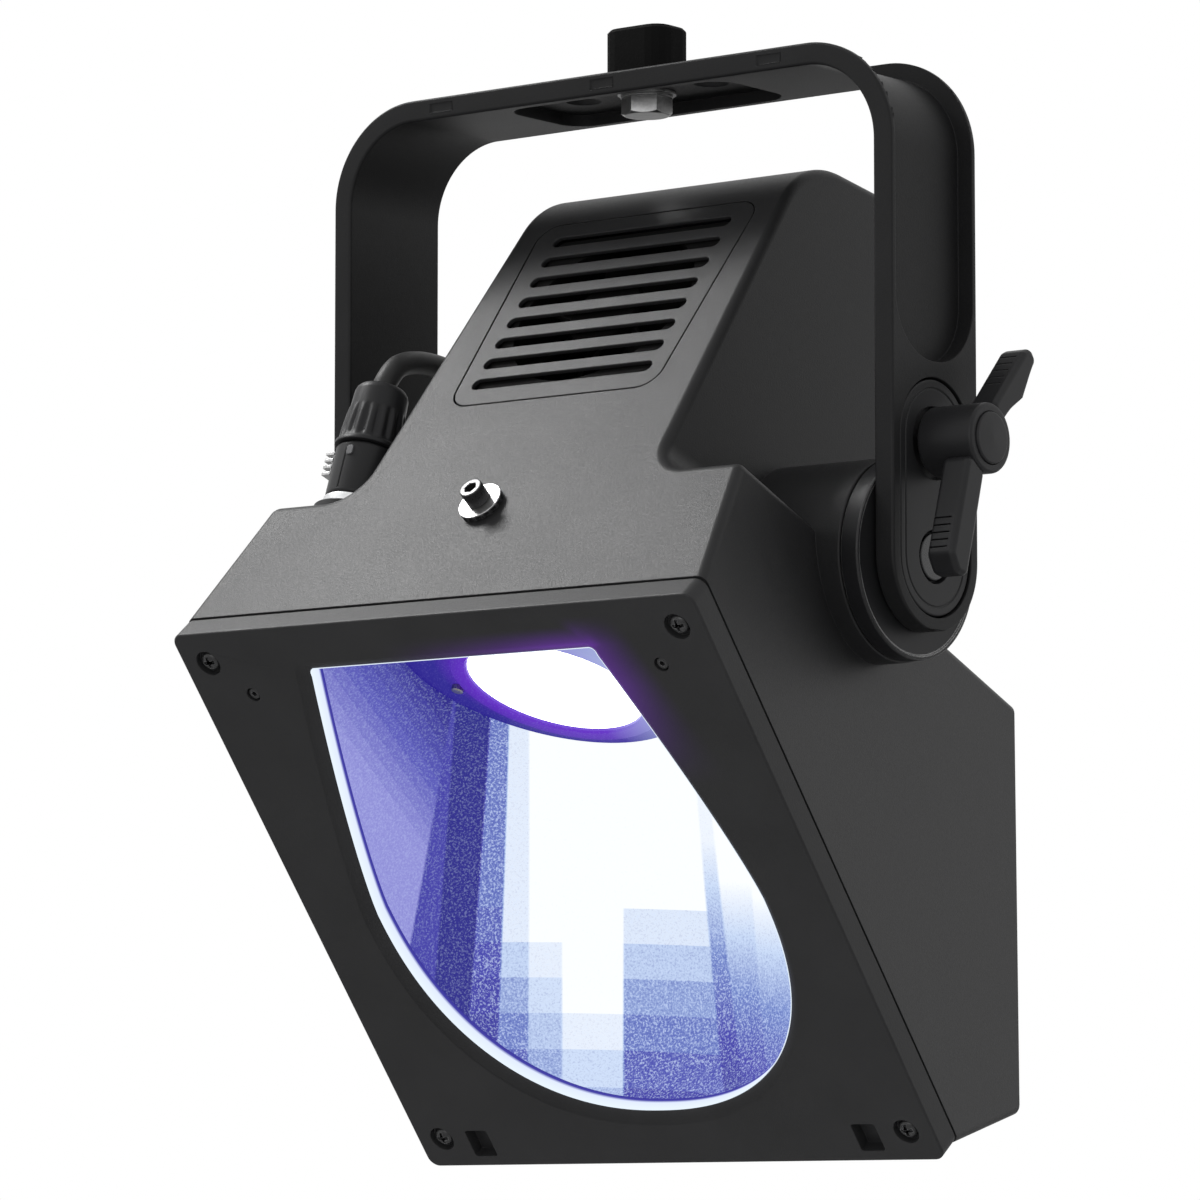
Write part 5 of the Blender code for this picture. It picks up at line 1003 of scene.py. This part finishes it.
def window_half(fine=4):
    """The right half of the window outline, from bottom centre to top centre."""
    points = []
    rounds = 14 * fine
    for i in range(rounds + 1):
        turn = radians(90 * i / rounds)
        x = WINDOW_HALF * sin(turn) ** (2 / WINDOW_POWER)
        rise = (WINDOW_BOTTOM_V - WINDOW_SIDE_V) * cos(turn) ** (2 / WINDOW_POWER)
        points.append((x, WINDOW_SIDE_V + rise))
    corner_v = WINDOW_TOP_V + WINDOW_CORNER_R
    for i in range(1, 5 * fine + 1):
        share = i / (5 * fine)
        x = WINDOW_HALF - WINDOW_SIDE_DROP * share**WINDOW_SIDE_POWER
        points.append((x, WINDOW_SIDE_V + (corner_v - WINDOW_SIDE_V) * share))
    end_x = points[-1][0]
    top_x = end_x - WINDOW_CORNER_R
    points += arc((top_x, corner_v), WINDOW_CORNER_R, 0, -pi / 2, 3 * fine)[1:]
    points += [(top_x - top_x * i / 6, WINDOW_TOP_V) for i in range(1, 6)]
    return points


def window_outline(inset=0.0, fine=4):
    """The whole window outline, drawn in by an inset (negative for outwards)."""
    right = window_half(fine)
    ring = right + [(0, WINDOW_TOP_V)] + [(-x, v) for x, v in reversed(right[1:])]
    ring.reverse()
    count = len(ring)
    moved = []
    for i, (x, v) in enumerate(ring):
        before = ring[i - 1]
        after = ring[(i + 1) % count]
        run = Vector((after[0] - before[0], after[1] - before[1])).normalized()
        moved.append((x - run.y * inset, v + run.x * inset))
    return moved


def face_points():
    return [(x, v) for v in (-SCREW_V, SCREW_V) for x in (-SCREW_X, SCREW_X)]


def bezel_outline(inset):
    half_w = BEZEL_W / 2 - inset
    half_h = BEZEL_H / 2 - inset
    return rounded(-half_w, half_w, -half_h, half_h, BEZEL_CORNER_R - inset)


def bezel(coat):
    levels = [(bezel_outline(inset), rise) for inset, rise in quarter(BEZEL_EDGE, 4)]
    levels.append((bezel_outline(0), BEZEL_THICK - BEZEL_REAR_EDGE))
    levels.append((bezel_outline(BEZEL_REAR_EDGE), BEZEL_THICK))
    slope = WINDOW_BEVEL / WINDOW_BEVEL_DEPTH
    window = stack([
        (window_outline(-0.002 * slope), -0.002),
        (window_outline(WINDOW_BEVEL), WINDOW_BEVEL_DEPTH),
        (window_outline(WINDOW_BEVEL), BEZEL_THICK + 0.003),
    ], FACE)
    wells = [prism(circle(SCREW_WELL_R, 48, at), -0.002, SCREW_WELL_DEPTH, FACE) for at in face_points()]
    for x in (-SET_SCREW_X, SET_SCREW_X):
        wells.append(prism(circle(SET_SCREW_R + 0.0006, 32, (x, SET_SCREW_V)), -0.002, 0.006, FACE))
    for x in (-SQUARE_X, SQUARE_X):
        half_x = SQUARE_W / 2
        half_v = SQUARE_H / 2
        hole = rounded(x - half_x, x + half_x, SQUARE_V - half_v, SQUARE_V + half_v, 0.001, 3)
        wells.append(prism(hole, -0.002, SQUARE_DEPTH, FACE))
    made = solid("bezel_frame", [stack(levels, FACE)], [cut(window), cut(*wells)], edge=0.0003)
    give(made, "head", "black_coat", coat, "bezel")


def cross_slots(size, low, high, place):
    half = size * SLOT_HALF_SHARE
    arm = size * SLOT_ARM_SHARE
    return [cut(box(-x, x, -y, y, low, high, place)) for x, y in ((arm, half), (half, arm))]


def bezel_screws(steel):
    for letter, at in zip("abcd", face_points()):
        place = shifted(FACE, *at)
        rim = SCREW_WELL_DEPTH - 0.0001
        r = SCREW_HEAD_R
        profile = [(0.0002, rim - SCREW_RIM - SCREW_DOME)]
        for i in range(7):
            turn = radians(90 * i / 6)
            profile.append((r * sin(turn) if i else r * 0.05, rim - SCREW_RIM - SCREW_DOME * cos(turn)))
        profile += [(r, rim)]
        made = solid(f"corner_screw_{letter}", [turned(profile, place, 48)],
                     cross_slots(r, rim - 0.0045, rim - 0.0014, place), edge=0.00012, segments=1)
        give(made, "head", "steel", steel, f"bezel_screw_{letter}")
    for side, word in SIDES:
        place = shifted(FACE, side * SET_SCREW_X, SET_SCREW_V)
        profile = eased([(0.0002, 0.0008), (SET_SCREW_R, 0.0008), (SET_SCREW_R, 0.0058)], 0.0004)
        made = solid(f"small_screw_{word}", [turned(profile, place, 32)],
                     [cut(prism(circle(0.0013, 6), -0.001, 0.0028, place))])
        give(made, "head", "steel", steel, f"set_screw_{word}")


# Housing

def face_depth(y, z):
    return (Vector((0, y, z)) - Vector(FACE_CENTRE)).dot(FACE_IN)


def box_half(y, z, inset=0.0):
    return BEZEL_W / 2 - SIDE_TAPER * (face_depth(y, z) - BEZEL_THICK) - inset


def ledge_height(y, z):
    return (LEDGE.inverted() @ Vector((0, y, z))).z


def neck_half(height):
    return NECK_HALF - NECK_TAPER * height


def slope_at(height):
    rise = Vector((0, *SHOULDER)) + SLOPE_UP * (height / sin(SLOPE_RISE + LEDGE_FALL))
    return rise.y, rise.z


def back_at(height):
    along = (NECK_BACK_Y - SHOULDER[0] - height * sin(LEDGE_FALL)) / cos(LEDGE_FALL)
    point = LEDGE @ Vector((0, along, height))
    return point.y, point.z


def top_line(steps=28):
    points = arc(TOP_CENTRE, TOP_ARC_R, pi / 2 + SLOPE_RISE, pi / 2 - TOP_FALL, steps)
    last_y, last_z = points[-1]
    points.append((NECK_BACK_Y, last_z - (NECK_BACK_Y - last_y) * tan(TOP_FALL)))
    return points


def fillet_section(steps=14):
    centre_x = NECK_HALF + NECK_FILLET_R
    points = arc((centre_x, NECK_FILLET_R), NECK_FILLET_R, -pi / 2, -pi, steps)
    lean = neck_half(NECK_FILLET_R) - NECK_HALF
    return [(x + lean * i / steps, height) for i, (x, height) in enumerate(points)]


def housing_shell():
    """The outer body as planar faces: lamp box, ledge, filleted neck and rounded top."""
    points = []
    faces = []
    lookup = {}

    def corner(x, place):
        key = (round(x, 8), round(place[0], 8), round(place[1], 8))
        if key not in lookup:
            lookup[key] = len(points)
            points.append(Vector((x, *place)))
        return lookup[key]

    a = tuple((FACE_REAR_TOP - SLOPE_UP * 0.010).yz)
    b = tuple((FACE_REAR_LOW - BOTTOM_RUN * 0.010).yz)
    section = fillet_section()
    crest = top_line()
    rims = {}
    for side in (-1, 1):
        ring = [corner(side * box_half(*p), p) for p in (a, SHOULDER, BACK_TOP, BACK_LOW, b)]
        faces.append(tuple(ring))
        slope_row = [corner(side * x, slope_at(height)) for x, height in section]
        back_row = [corner(side * x, back_at(height)) for x, height in section]
        for i in range(len(section) - 1):
            faces.append((slope_row[i], slope_row[i + 1], back_row[i + 1], back_row[i]))
        crest_row = [corner(side * neck_half(ledge_height(*p)), p) for p in crest]
        faces.append((slope_row[-1], *crest_row, back_row[-1]))
        rims[side] = (ring, slope_row, back_row, crest_row)
    l_ring, l_slope, l_back, l_crest = rims[-1]
    r_ring, r_slope, r_back, r_crest = rims[1]
    faces.append((*r_ring[:2], *r_slope, r_crest[0], l_crest[0], *reversed(l_slope), l_ring[1], l_ring[0]))
    for i in range(len(crest) - 1):
        faces.append((r_crest[i], r_crest[i + 1], l_crest[i + 1], l_crest[i]))
    faces.append((*r_back, r_crest[-1], l_crest[-1], *reversed(l_back)))
    faces.append((r_ring[1], r_slope[0], r_back[0], l_back[0], l_slope[0], l_ring[1], l_ring[2], r_ring[2]))
    for i, j in ((2, 3), (3, 4), (4, 0)):
        faces.append((r_ring[i], l_ring[i], l_ring[j], r_ring[j]))
    return points, faces


def inset_line(first, second, away):
    run = Vector((second[0] - first[0], second[1] - first[1])).normalized()
    return Vector(first) + Vector((run.y, -run.x)) * away, run


def meet(one, two):
    (p, d), (q, e) = one, two
    share = ((q.x - p.x) * e.y - (q.y - p.y) * e.x) / (d.x * e.y - d.y * e.x)
    return p + d * share


def lamp_cavity():
    """The hollow of the lamp box, open at the bezel."""
    a = (FACE_REAR_TOP - SLOPE_UP * 0.020).yz
    b = (FACE_REAR_LOW - BOTTOM_RUN * 0.020).yz
    ring = [a, SHOULDER, BACK_TOP, BACK_LOW, b]
    sides = [inset_line(ring[i], ring[i + 1], HOUSING_WALL) for i in range(4)]
    corners = [meet(sides[i], sides[i + 1]) for i in range(3)]
    inner = [sides[0][0], *corners, sides[3][0] + b - Vector(BACK_LOW)]
    return loft([[(side * box_half(p.x, p.y, HOUSING_WALL), p.x, p.y) for p in inner] for side in (-1, 1)])


def neck_cavity():
    """The hollow of the neck, which runs down into the lamp box."""
    crest = [Vector(p) for p in top_line()]
    start = inset_line((FACE_REAR_TOP.y, FACE_REAR_TOP.z), SLOPE_TOP, HOUSING_WALL)[0]
    centre = Vector(TOP_CENTRE)
    roof = [centre + (p - centre).normalized() * (TOP_ARC_R - HOUSING_WALL) for p in crest[:-1]]
    back = NECK_BACK_Y - HOUSING_WALL
    last = roof[-1]
    roof.append(Vector((back, last.y - (back - last.x) * tan(TOP_FALL))))
    low = start + Vector((SLOPE_UP.y, SLOPE_UP.z)) * 0.040
    outline = [low, *roof, Vector((back, -0.060)), Vector((-0.060, -0.010))]
    return loft([[(side * NECK_HOLLOW_HALF, p.x, p.y) for p in outline] for side in (-1, 1)])


def vent_outline(grow=0.0):
    corners = [
        (-VENT_LOW_HALF - grow, VENT_LOW_S - grow), (VENT_LOW_HALF + grow, VENT_LOW_S - grow),
        (VENT_HIGH_HALF + grow, VENT_HIGH_S + grow), (-VENT_HIGH_HALF - grow, VENT_HIGH_S + grow),
    ]
    return rounded_polygon(corners, VENT_CORNER_R + grow)


def gland_frame():
    out = Vector((-sin(GLAND_TURN), -cos(GLAND_TURN), 0))
    up = Vector((0, 0, 1))
    return axes(up.cross(out), up, out, GLAND_WALL)


def connector_frame():
    return shifted(LEDGE, CONNECTOR_X, CONNECTOR_S)


def shadow_gap():
    """A shallow step round the housing's front edge, seen as the dark line behind the bezel."""
    high = BEZEL_THICK + GAP + 0.0007
    half_w = BEZEL_W / 2 - SHADOW_GAP
    half_h = BEZEL_H / 2 - SHADOW_GAP
    outer = rounded(-0.2, 0.2, -0.2, 0.2, 0.01, 3)
    inner = rounded(-half_w, half_w, -half_h, half_h, 0.004, 3)
    return band([(outer, BEZEL_THICK), (outer, high), (inner, high), (inner, BEZEL_THICK)], FACE)


def housing(coat):
    boss = eased([(BOSS_R, BOSS_INNER_X), (BOSS_R, BOSS_FACE_X), (PIVOT_R, BOSS_FACE_X)], 0.0010)
    bosses = [turned(boss, leg_frame(side), 96) for side in (-1, 1)]
    pad_profile = eased([(PAD_R, -0.0045), (PAD_R, PAD_HIGH), (0.008, PAD_HIGH)], 0.0008)
    pad = turned(pad_profile, connector_frame(), 64)
    gland_profile = eased([(GLAND_BOSS_R, -0.0035), (GLAND_BOSS_R, GLAND_BOSS), (0.006, GLAND_BOSS)], 0.0010)
    gland_boss = turned(gland_profile, gland_frame(), 48)
    half = BACK_OPENING_HALF
    low = back_at(0)[1] + BACK_OPENING_RISE
    high = top_line()[-1][1] - BACK_OPENING_DROP
    opening = rounded(-half, half, low, high, 0.005)
    made = solid("lamp_housing", [housing_shell()], [
        cut(box(-0.2, 0.2, -0.2, 0.2, -0.05, BEZEL_THICK + GAP, FACE)),
        cut(lamp_cavity()), cut(neck_cavity()),
        join(*bosses), join(pad), join(gland_boss),
        cut(shadow_gap()),
        cut(prism(vent_outline(VENT_GROOVE), -VENT_THICK - GAP, 0.004, SLOPE)),
        cut(prism(vent_outline(-VENT_LAND), -0.010, 0.0, SLOPE)),
        cut(prism(opening, NECK_BACK_Y - 0.010, NECK_BACK_Y + 0.004, REAR)),
    ], early=HOUSING_EDGE, sharp=30)
    give(made, "head", "black_coat", coat, "housing")


def vent_panel(coat):
    slots = []
    for i in range(VENT_SLOTS):
        s = VENT_TOP_SLOT_S - i * VENT_PITCH
        half = VENT_SLOT_WIDTH / 2
        ring = rounded(-VENT_SLOT_HALF, VENT_SLOT_HALF, s - half, s + half, half * 0.98, 10)
        slots.append(prism(ring, -VENT_THICK - 0.002, 0.002, SLOPE))
    made = solid("vent_grille", [prism(vent_outline(), -VENT_THICK, 0, SLOPE)], [cut(*slots)],
                 edge=0.0004, segments=3)
    give(made, "head", "black_coat", coat, "vent_panel")


def earth_screw(zinc, steel):
    place = shifted(SLOPE, EARTH_X, EARTH_S)
    low = GAP
    high = low + EARTH_WASHER_THICK
    seam = high - 0.0008
    tooth, gap = (EARTH_WASHER_R * share for share in EARTH_TOOTH)
    outer = radial([gap, tooth, tooth, gap] * EARTH_TEETH)
    bore = EARTH_BORE_R
    disc = eased([(bore, seam), (EARTH_WASHER_R, seam), (EARTH_WASHER_R, high), (bore, high)], 0.0003)
    give(solid("washer_face", [collar(disc, place)], sharp=50), "head", "zinc", zinc, "earth_washer")
    hole = prism(circle(bore, 32), -0.002, 0.004, place)
    made = solid("washer_teeth", [prism(outer, low, seam - 0.00005, place)], [cut(hole)])
    give(made, "head", "steel", steel)
    seat = high + 0.0001
    top = seat + EARTH_HEAD_HEIGHT
    shank = EARTH_SHANK_R
    profile = [(shank, -0.007), (shank, seat), (EARTH_HEAD_R, seat), (EARTH_HEAD_R, top), (0.0002, top)]
    socket = prism(circle(EARTH_SOCKET_R, 6), seat + 0.003, seat + 0.012, place)
    screw = turned(eased(profile, 0.0006, 4), place, 48)
    made = solid("earth_cap_screw", [screw], [cut(socket)], edge=0.00015)
    give(made, "head", "steel", steel, "earth_screw")


# Lamp and reflector

ROWS = 20
BOWL_LIFT = 0.003
BOWL_LIFT_LOW = 0.040
BOWL_FLARE_SIDE = 0.012
BOWL_FLARE_DOWN = 0.056
BOWL_FLARE_IN = 0.010
REFLECTOR_SHEETS = ("lower", "left", "upper", "right")


def reflector_point(x, v, t):
    """A point of the bowl's inner surface over a rim point, from 0 at the window to 1 at the ceiling."""
    turn = atan2(v, x)
    deep = (1 + sin(turn)) / 2
    start = FACE @ Vector((x, v, BEZEL_THICK + GAP))
    end = LAMP @ Vector((CEILING_R * cos(turn), CEILING_SHIFT + CEILING_R * sin(turn), 0))
    lift = FACE_IN * (BOWL_LIFT + BOWL_LIFT_LOW * deep)
    flare = RIGHT * (BOWL_FLARE_SIDE * cos(turn)) + FACE_DOWN * (BOWL_FLARE_DOWN * deep)
    flare += FACE_IN * (BOWL_FLARE_IN * deep)
    point = start * (1 - t) ** 3 + (start + lift) * 3 * t * (1 - t) ** 2
    return point + (end + flare) * 3 * t * t * (1 - t) + end * t**3


def reflector(material):
    """The four sheets as one thin bowl, from the bezel's rear face to the ceiling."""
    outline = window_outline(WINDOW_BEVEL - 0.001, 2)
    rows = [[DROP @ reflector_point(x, v, t / ROWS) for x, v in outline] for t in range(ROWS + 1)]
    points, faces = loft(rows, closed_ends=False)
    mesh = bpy.data.meshes.new("bowl_reflector")
    mesh.from_pydata(points, [], faces)
    made = bpy.data.objects.new("bowl_reflector", mesh)
    bpy.context.scene.collection.objects.link(made)
    step = made.modifiers.new("wall", "SOLIDIFY")
    step.thickness = REFLECTOR_WALL
    step.offset = 1.0
    give(made, "head", "mirror_sheet", material, *(f"reflector_{word}" for word in REFLECTOR_SHEETS))


def window_liner(material):
    """A thin band on the window's inner wall, with the lamp's light painted on it."""
    outer, inner = (window_outline(WINDOW_BEVEL + inset) for inset in (0.0001, 0.0004))
    low = WINDOW_BEVEL_DEPTH + 0.0001
    high = BEZEL_THICK - 0.0001
    made = solid("window_liner", [band([(outer, low), (outer, high), (inner, high), (inner, low)], FACE)])
    give(made, "head", "mirror_sheet", material)


# Lead and its connector

PLUG_BASE = PAD_HIGH + GAP
PLUG_LOW = PLUG_BASE + FLANGE_THICK + GAP


def plug(plastic, aluminium):
    """The socket's flange and the plug's body, with a window for the latch and a seam."""
    place = connector_frame()
    top = PLUG_BASE + FLANGE_THICK
    flange = [(0.0005, PLUG_BASE), (FLANGE_R, PLUG_BASE), (FLANGE_R, top), (0.0005, top)]
    made = solid("plug_flange", [turned(eased(flange, 0.0006), place)])
    give(made, "head", "bare_aluminium", aluminium, "socket_flange")
    body = eased([(0.0005, PLUG_LOW), (PLUG_R, PLUG_LOW), (PLUG_R, PLUG_TOP), (0.0005, PLUG_TOP)], 0.0016, 5)
    low, high = (PLUG_LOW + level for level in LATCH_WAY)
    half = LATCH_WAY_HALF
    window = box(-PLUG_R - 0.002, -PLUG_R + LATCH_WAY_DEPTH, -half, half, low, high, place)
    seam = box(-0.0003, 0.0003, -PLUG_R - 0.002, -PLUG_R + 0.0004, PLUG_LOW + 0.002, PLUG_TOP - 0.004, place)
    made = solid("plug_shell", [turned(body, place)], [cut(window), cut(seam)], edge=0.00025)
    give(made, "head", "black_plastic", plastic, "plug_body")


def key_insert(key):
    """A small pale insert on the plug's front, near its top."""
    mark = rounded(0.0003, 0.0037, PLUG_TOP - 0.0068, PLUG_TOP - 0.0026, 0.0010, 4)
    front = connector_frame() @ axes((1, 0, 0), (0, 0, 1), (0, -1, 0), (0, 0, 0))
    made = solid("key_insert", [prism(mark, PLUG_R - 0.0008, PLUG_R + 0.0003, front)], edge=0.0002)
    give(made, "head", "key_plastic", key)


def flutes(radius, depth):
    """A round outline with flutes of some depth round it."""
    turns = [2 * pi * i / (BUSHING_FLUTES * 6) for i in range(BUSHING_FLUTES * 6)]
    return radial([radius - depth * max(0.0, cos(BUSHING_FLUTES * turn)) ** 0.6 for turn in turns])


def bushing(plastic):
    low = PLUG_TOP + 0.0002
    levels = [(flutes(radius, FLUTE_DEPTH * share), low + rise) for radius, share, rise in BUSHING_FOOT]
    levels += [(flutes(radius, 0), BUSHING_TOP - drop) for radius, drop in BUSHING_END]
    made = solid("fluted_bushing", [stack(levels, connector_frame())], sharp=50)
    give(made, "head", "black_plastic", plastic, "lead_bushing")


def latch(zinc):
    """The thumb piece in the plug's side, with its grip fins."""
    place = connector_frame()
    low, high = (PLUG_LOW + level for level in LATCH_LEVELS)
    half = LATCH_HALF
    thumb = box(-PLUG_R - 0.0006, -PLUG_R + 0.0018, -half, half, low, high, place)
    fins = []
    for i in range(LATCH_FINS):
        foot = low + LATCH_FIN_PITCH * i
        fins.append(box(-PLUG_R - LATCH_FIN_PROUD, -PLUG_R + 0.0010, -LATCH_FIN_FRONT, half,
                        foot, foot + LATCH_FIN, place))
    give(solid("thumb_latch", [thumb], [join(*fins)]), "latch", "zinc", zinc, "plug_latch")


def gland(plastic):
    low = GLAND_BOSS + GAP
    high = low + GLAND_LENGTH
    profile = eased([
        (0.0005, low), (0.0108, low), (0.0108, low + 0.0074), (0.0092, low + 0.0080), (0.0088, high - 0.0030),
        (0.0074, high), (0.0005, high),
    ], 0.0006)
    made = solid("lead_gland_nut", [turned(profile, gland_frame())])
    give(made, "head", "black_plastic", plastic, "lead_gland")


def smooth_route(points, per_span):
    """A Catmull-Rom curve through the points, whose first and last only steer it."""
    made = []
    for i in range(1, len(points) - 2):
        p, q, r, s = (Vector(points[i + k]) for k in (-1, 0, 1, 2))
        for step in range(per_span):
            t = step / per_span
            bend = (2 * p - 5 * q + 4 * r - s) * t**2 + (3 * q - p - 3 * r + s) * t**3
            made.append(0.5 * (2 * q + (r - p) * t + bend))
    made.append(Vector(points[-2]))
    return made


def link_lead(rubber):
    """The short lead, held at both ends by the head."""
    plug_face = shifted(connector_frame(), 0, 0, BUSHING_TOP + GAP)
    gland_face = shifted(gland_frame(), 0, 0, GLAND_BOSS + GAP + GLAND_LENGTH + GAP)
    first = plug_face.translation
    last = gland_face.translation
    straight = Vector((0, 0, LEAD_STRAIGHT))
    route = [first, plug_face @ straight, *LEAD_ROUTE, gland_face @ straight, last]
    points = [first, *smooth_route(route, 8), last]
    curve = bpy.data.curves.new("rubber_lead", "CURVE")
    curve.dimensions = "3D"
    curve.bevel_depth = LEAD_R
    curve.bevel_resolution = 8
    curve.use_fill_caps = True
    spline = curve.splines.new("POLY")
    spline.points.add(len(points) - 1)
    for target, point in zip(spline.points, points):
        target.co = (*(DROP @ point), 1)
    made = bpy.data.objects.new("rubber_lead", curve)
    bpy.context.scene.collection.objects.link(made)
    give(made, "head", "lead", rubber, "link_lead")


# Stage

def camera():
    data = bpy.data.cameras.new("camera")
    data.lens = CAMERA_LENS
    data.sensor_width = 36
    data.clip_start = 0.05
    data.clip_end = 60
    made = bpy.data.objects.new("camera", data)
    made.matrix_world = axes(CAMERA_RIGHT, CAMERA_UP, CAMERA_BACK, CAMERA_AT)
    bpy.context.scene.collection.objects.link(made)
    bpy.context.scene.camera = made


def world():
    """White where the camera, a gloss or a glass sees it, and a plain soft level on everything else."""
    made = bpy.data.worlds.new("studio")
    bpy.context.scene.world = made
    made.use_nodes = True
    tree = made.node_tree
    path = tree.nodes.new("ShaderNodeLightPath")
    rays = [Value(tree, path.outputs[f"Is {kind} Ray"]) for kind in ("Camera", "Transmission", "Glossy")]
    seen = rays[0].math("MAXIMUM", rays[1]).math("MAXIMUM", rays[2])
    back = tree.nodes["Background"]
    back.inputs["Color"].default_value = (1, 1, 1, 1)
    feed(tree, back.inputs["Strength"], seen.spread(0.0, 1.0, WORLD_LEVEL, 1.0))


def lamp(name, at, target, size, power, beam=180):
    data = bpy.data.lights.new(name, "AREA")
    data.shape = "DISK"
    data.size = size
    data.energy = power
    data.spread = radians(beam)
    made = bpy.data.objects.new(name, data)
    made.location = at
    made.rotation_mode = "QUATERNION"
    made.rotation_quaternion = (Vector(target) - Vector(at)).to_track_quat("-Z", "Y")
    bpy.context.scene.collection.objects.link(made)


def lights():
    """A narrow beam from above on the slope, and a broad soft lamp in front."""
    lamp("key", at=(-0.95, -0.25, 0.90), target=(-0.02, -0.16, -0.30), size=0.5, power=0.95, beam=40)
    lamp("front", at=(0.6, -2.2, 0.1), target=(0, 0, -0.24), size=1.2, power=7)


def floor():
    made = build_object("studio_floor", [prism(circle(6.0, 96), FLOOR_Z - 0.02, FLOOR_Z)])
    finish = new_material("studio_floor", Base_Color=(0.86, 0.86, 0.86, 1), Roughness=0.9)[0]
    made.data.materials.append(finish)


# Construction pieces that are shown as they are, by finish
SHOWN = {
    "block": ["hanger_block"],
    "inner": ["fan_frame", "fan_rotor"],
    "zinc": ["pan_bolt", "spring_washer", "flat_washer", "ceiling_screw"],
    "steel": ["brake_shoe", "lever_stud"] + [f"cover_screw_{c}" for c in "abcd"],
    "plastic": ["power_socket", "data_socket_a", "data_socket_b"],
    "coat": ["rear_cover"],
    "aluminium": ["led_board", "heat_sink", "driver_box"],
    "ceiling": ["ceiling_plate", "lamp_ring"],
    "lens": ["lamp_lens"],
    "board": ["control_board"],
    "screen": ["display"],
    "key": [f"button_{c}" for c in "abcd"],
}


def paint_nodes(materials):
    for finish, names in SHOWN.items():
        for name in names:
            mesh = frame["nodes"][name].data
            mesh.materials.clear()
            mesh.materials.append(materials[finish])


camera()
materials = {
    "coat": coat("black_coat"),
    "yoke": coat("yoke_coat", 0.013, 0.14),
    # The housing's copy of the coat is darker than the others: painted shade, for the neck side shaded by the
    # yoke
    "housing": coat("housing_coat_painted_shade", 0.018, 0.18),
    "bezel": bezel_material(),
    "plastic": surface("black_plastic", (0.015, 0.015, 0.016), 0.42, grain=2600, depth=0.00003, specular=0.20,
                       wear_and_sheen_share=0.4),
    "inner": surface("inner_black", (0.004, 0.004, 0.004), 0.70, grain=900, depth=0.00004, specular=0.03,
                     wear_and_sheen_share=0.1),
    "block": surface("block_black", (0.006, 0.006, 0.006), 0.78, grain=900, depth=0.00012, specular=0.06,
                     wear_and_sheen_share=0.2),
    "zinc": surface("zinc", (0.38, 0.38, 0.38), 0.36, metal=1.0, grain=900, depth=0.00002, mottle=0.12,
                    broad=160, swing=0.06, wear_and_sheen_share=0.3),
    "steel": surface("steel", (0.018, 0.018, 0.019), 0.30, grain=1400, depth=0.00002, mottle=0.2, broad=220,
                     swing=0.06, worn_and_sheen_colour=(0.35, 0.35, 0.36), wear_and_sheen_share=0.8),
    # The disc's edges are lightened to near white: a painted highlight along its rim
    "disc": surface("disc_coat", (0.012, 0.012, 0.013), 0.42, grain=1500, depth=0.00004, specular=0.2,
                    worn_and_sheen_colour=(0.90, 0.90, 0.90), wear_and_sheen_share=1.6, edge=0.0009),
    "aluminium": surface("bare_aluminium", (0.66, 0.67, 0.68), 0.36, metal=1.0, grain=500, depth=0.00003,
                         mottle=0.12, stretch=(1, 1, 8)),
    "key": surface("key_plastic", (0.075, 0.075, 0.08), 0.5, grain=2600, depth=0.00002),
    "board": surface("board", (0.025, 0.13, 0.06), 0.35, grain=300, depth=0.00008, mottle=0.4, broad=120),
    "screen": surface("screen", (0.006, 0.010, 0.016), 0.10, grain=3000, depth=0.000004, mottle=0.1,
                      swing=0.03),
    "lead": surface("lead_rubber", (0.024, 0.024, 0.024), 0.50, grain=1800, depth=0.00006, specular=0.25),
    "ceiling": glow_material("lamp_ceiling", ceiling_painted_light, rough=0.4),
    "lens": glow_material("lamp_lens", lens_colour, 4.0, 0.2),
    "facets": glow_material("hammered_sheet_painted_light", bowl_painted_light),
    "rim": glow_material("lit_rim", rim_painted_light),
}
link_lead(materials["lead"])
paint_nodes(materials)
yoke(materials["yoke"])
oval_plates(materials["plastic"], materials["steel"])
friction_discs(materials["disc"])
tilt_lever(materials["plastic"])
bezel(materials["bezel"])
bezel_screws(materials["steel"])
housing(materials["housing"])
vent_panel(materials["housing"])
earth_screw(materials["zinc"], materials["steel"])
reflector(materials["facets"])
window_liner(materials["rim"])
plug(materials["plastic"], materials["aluminium"])
key_insert(materials["key"])
bushing(materials["plastic"])
latch(materials["zinc"])
gland(materials["plastic"])
world()
lights()
floor()
bpy.context.scene.view_settings.view_transform = "Standard"
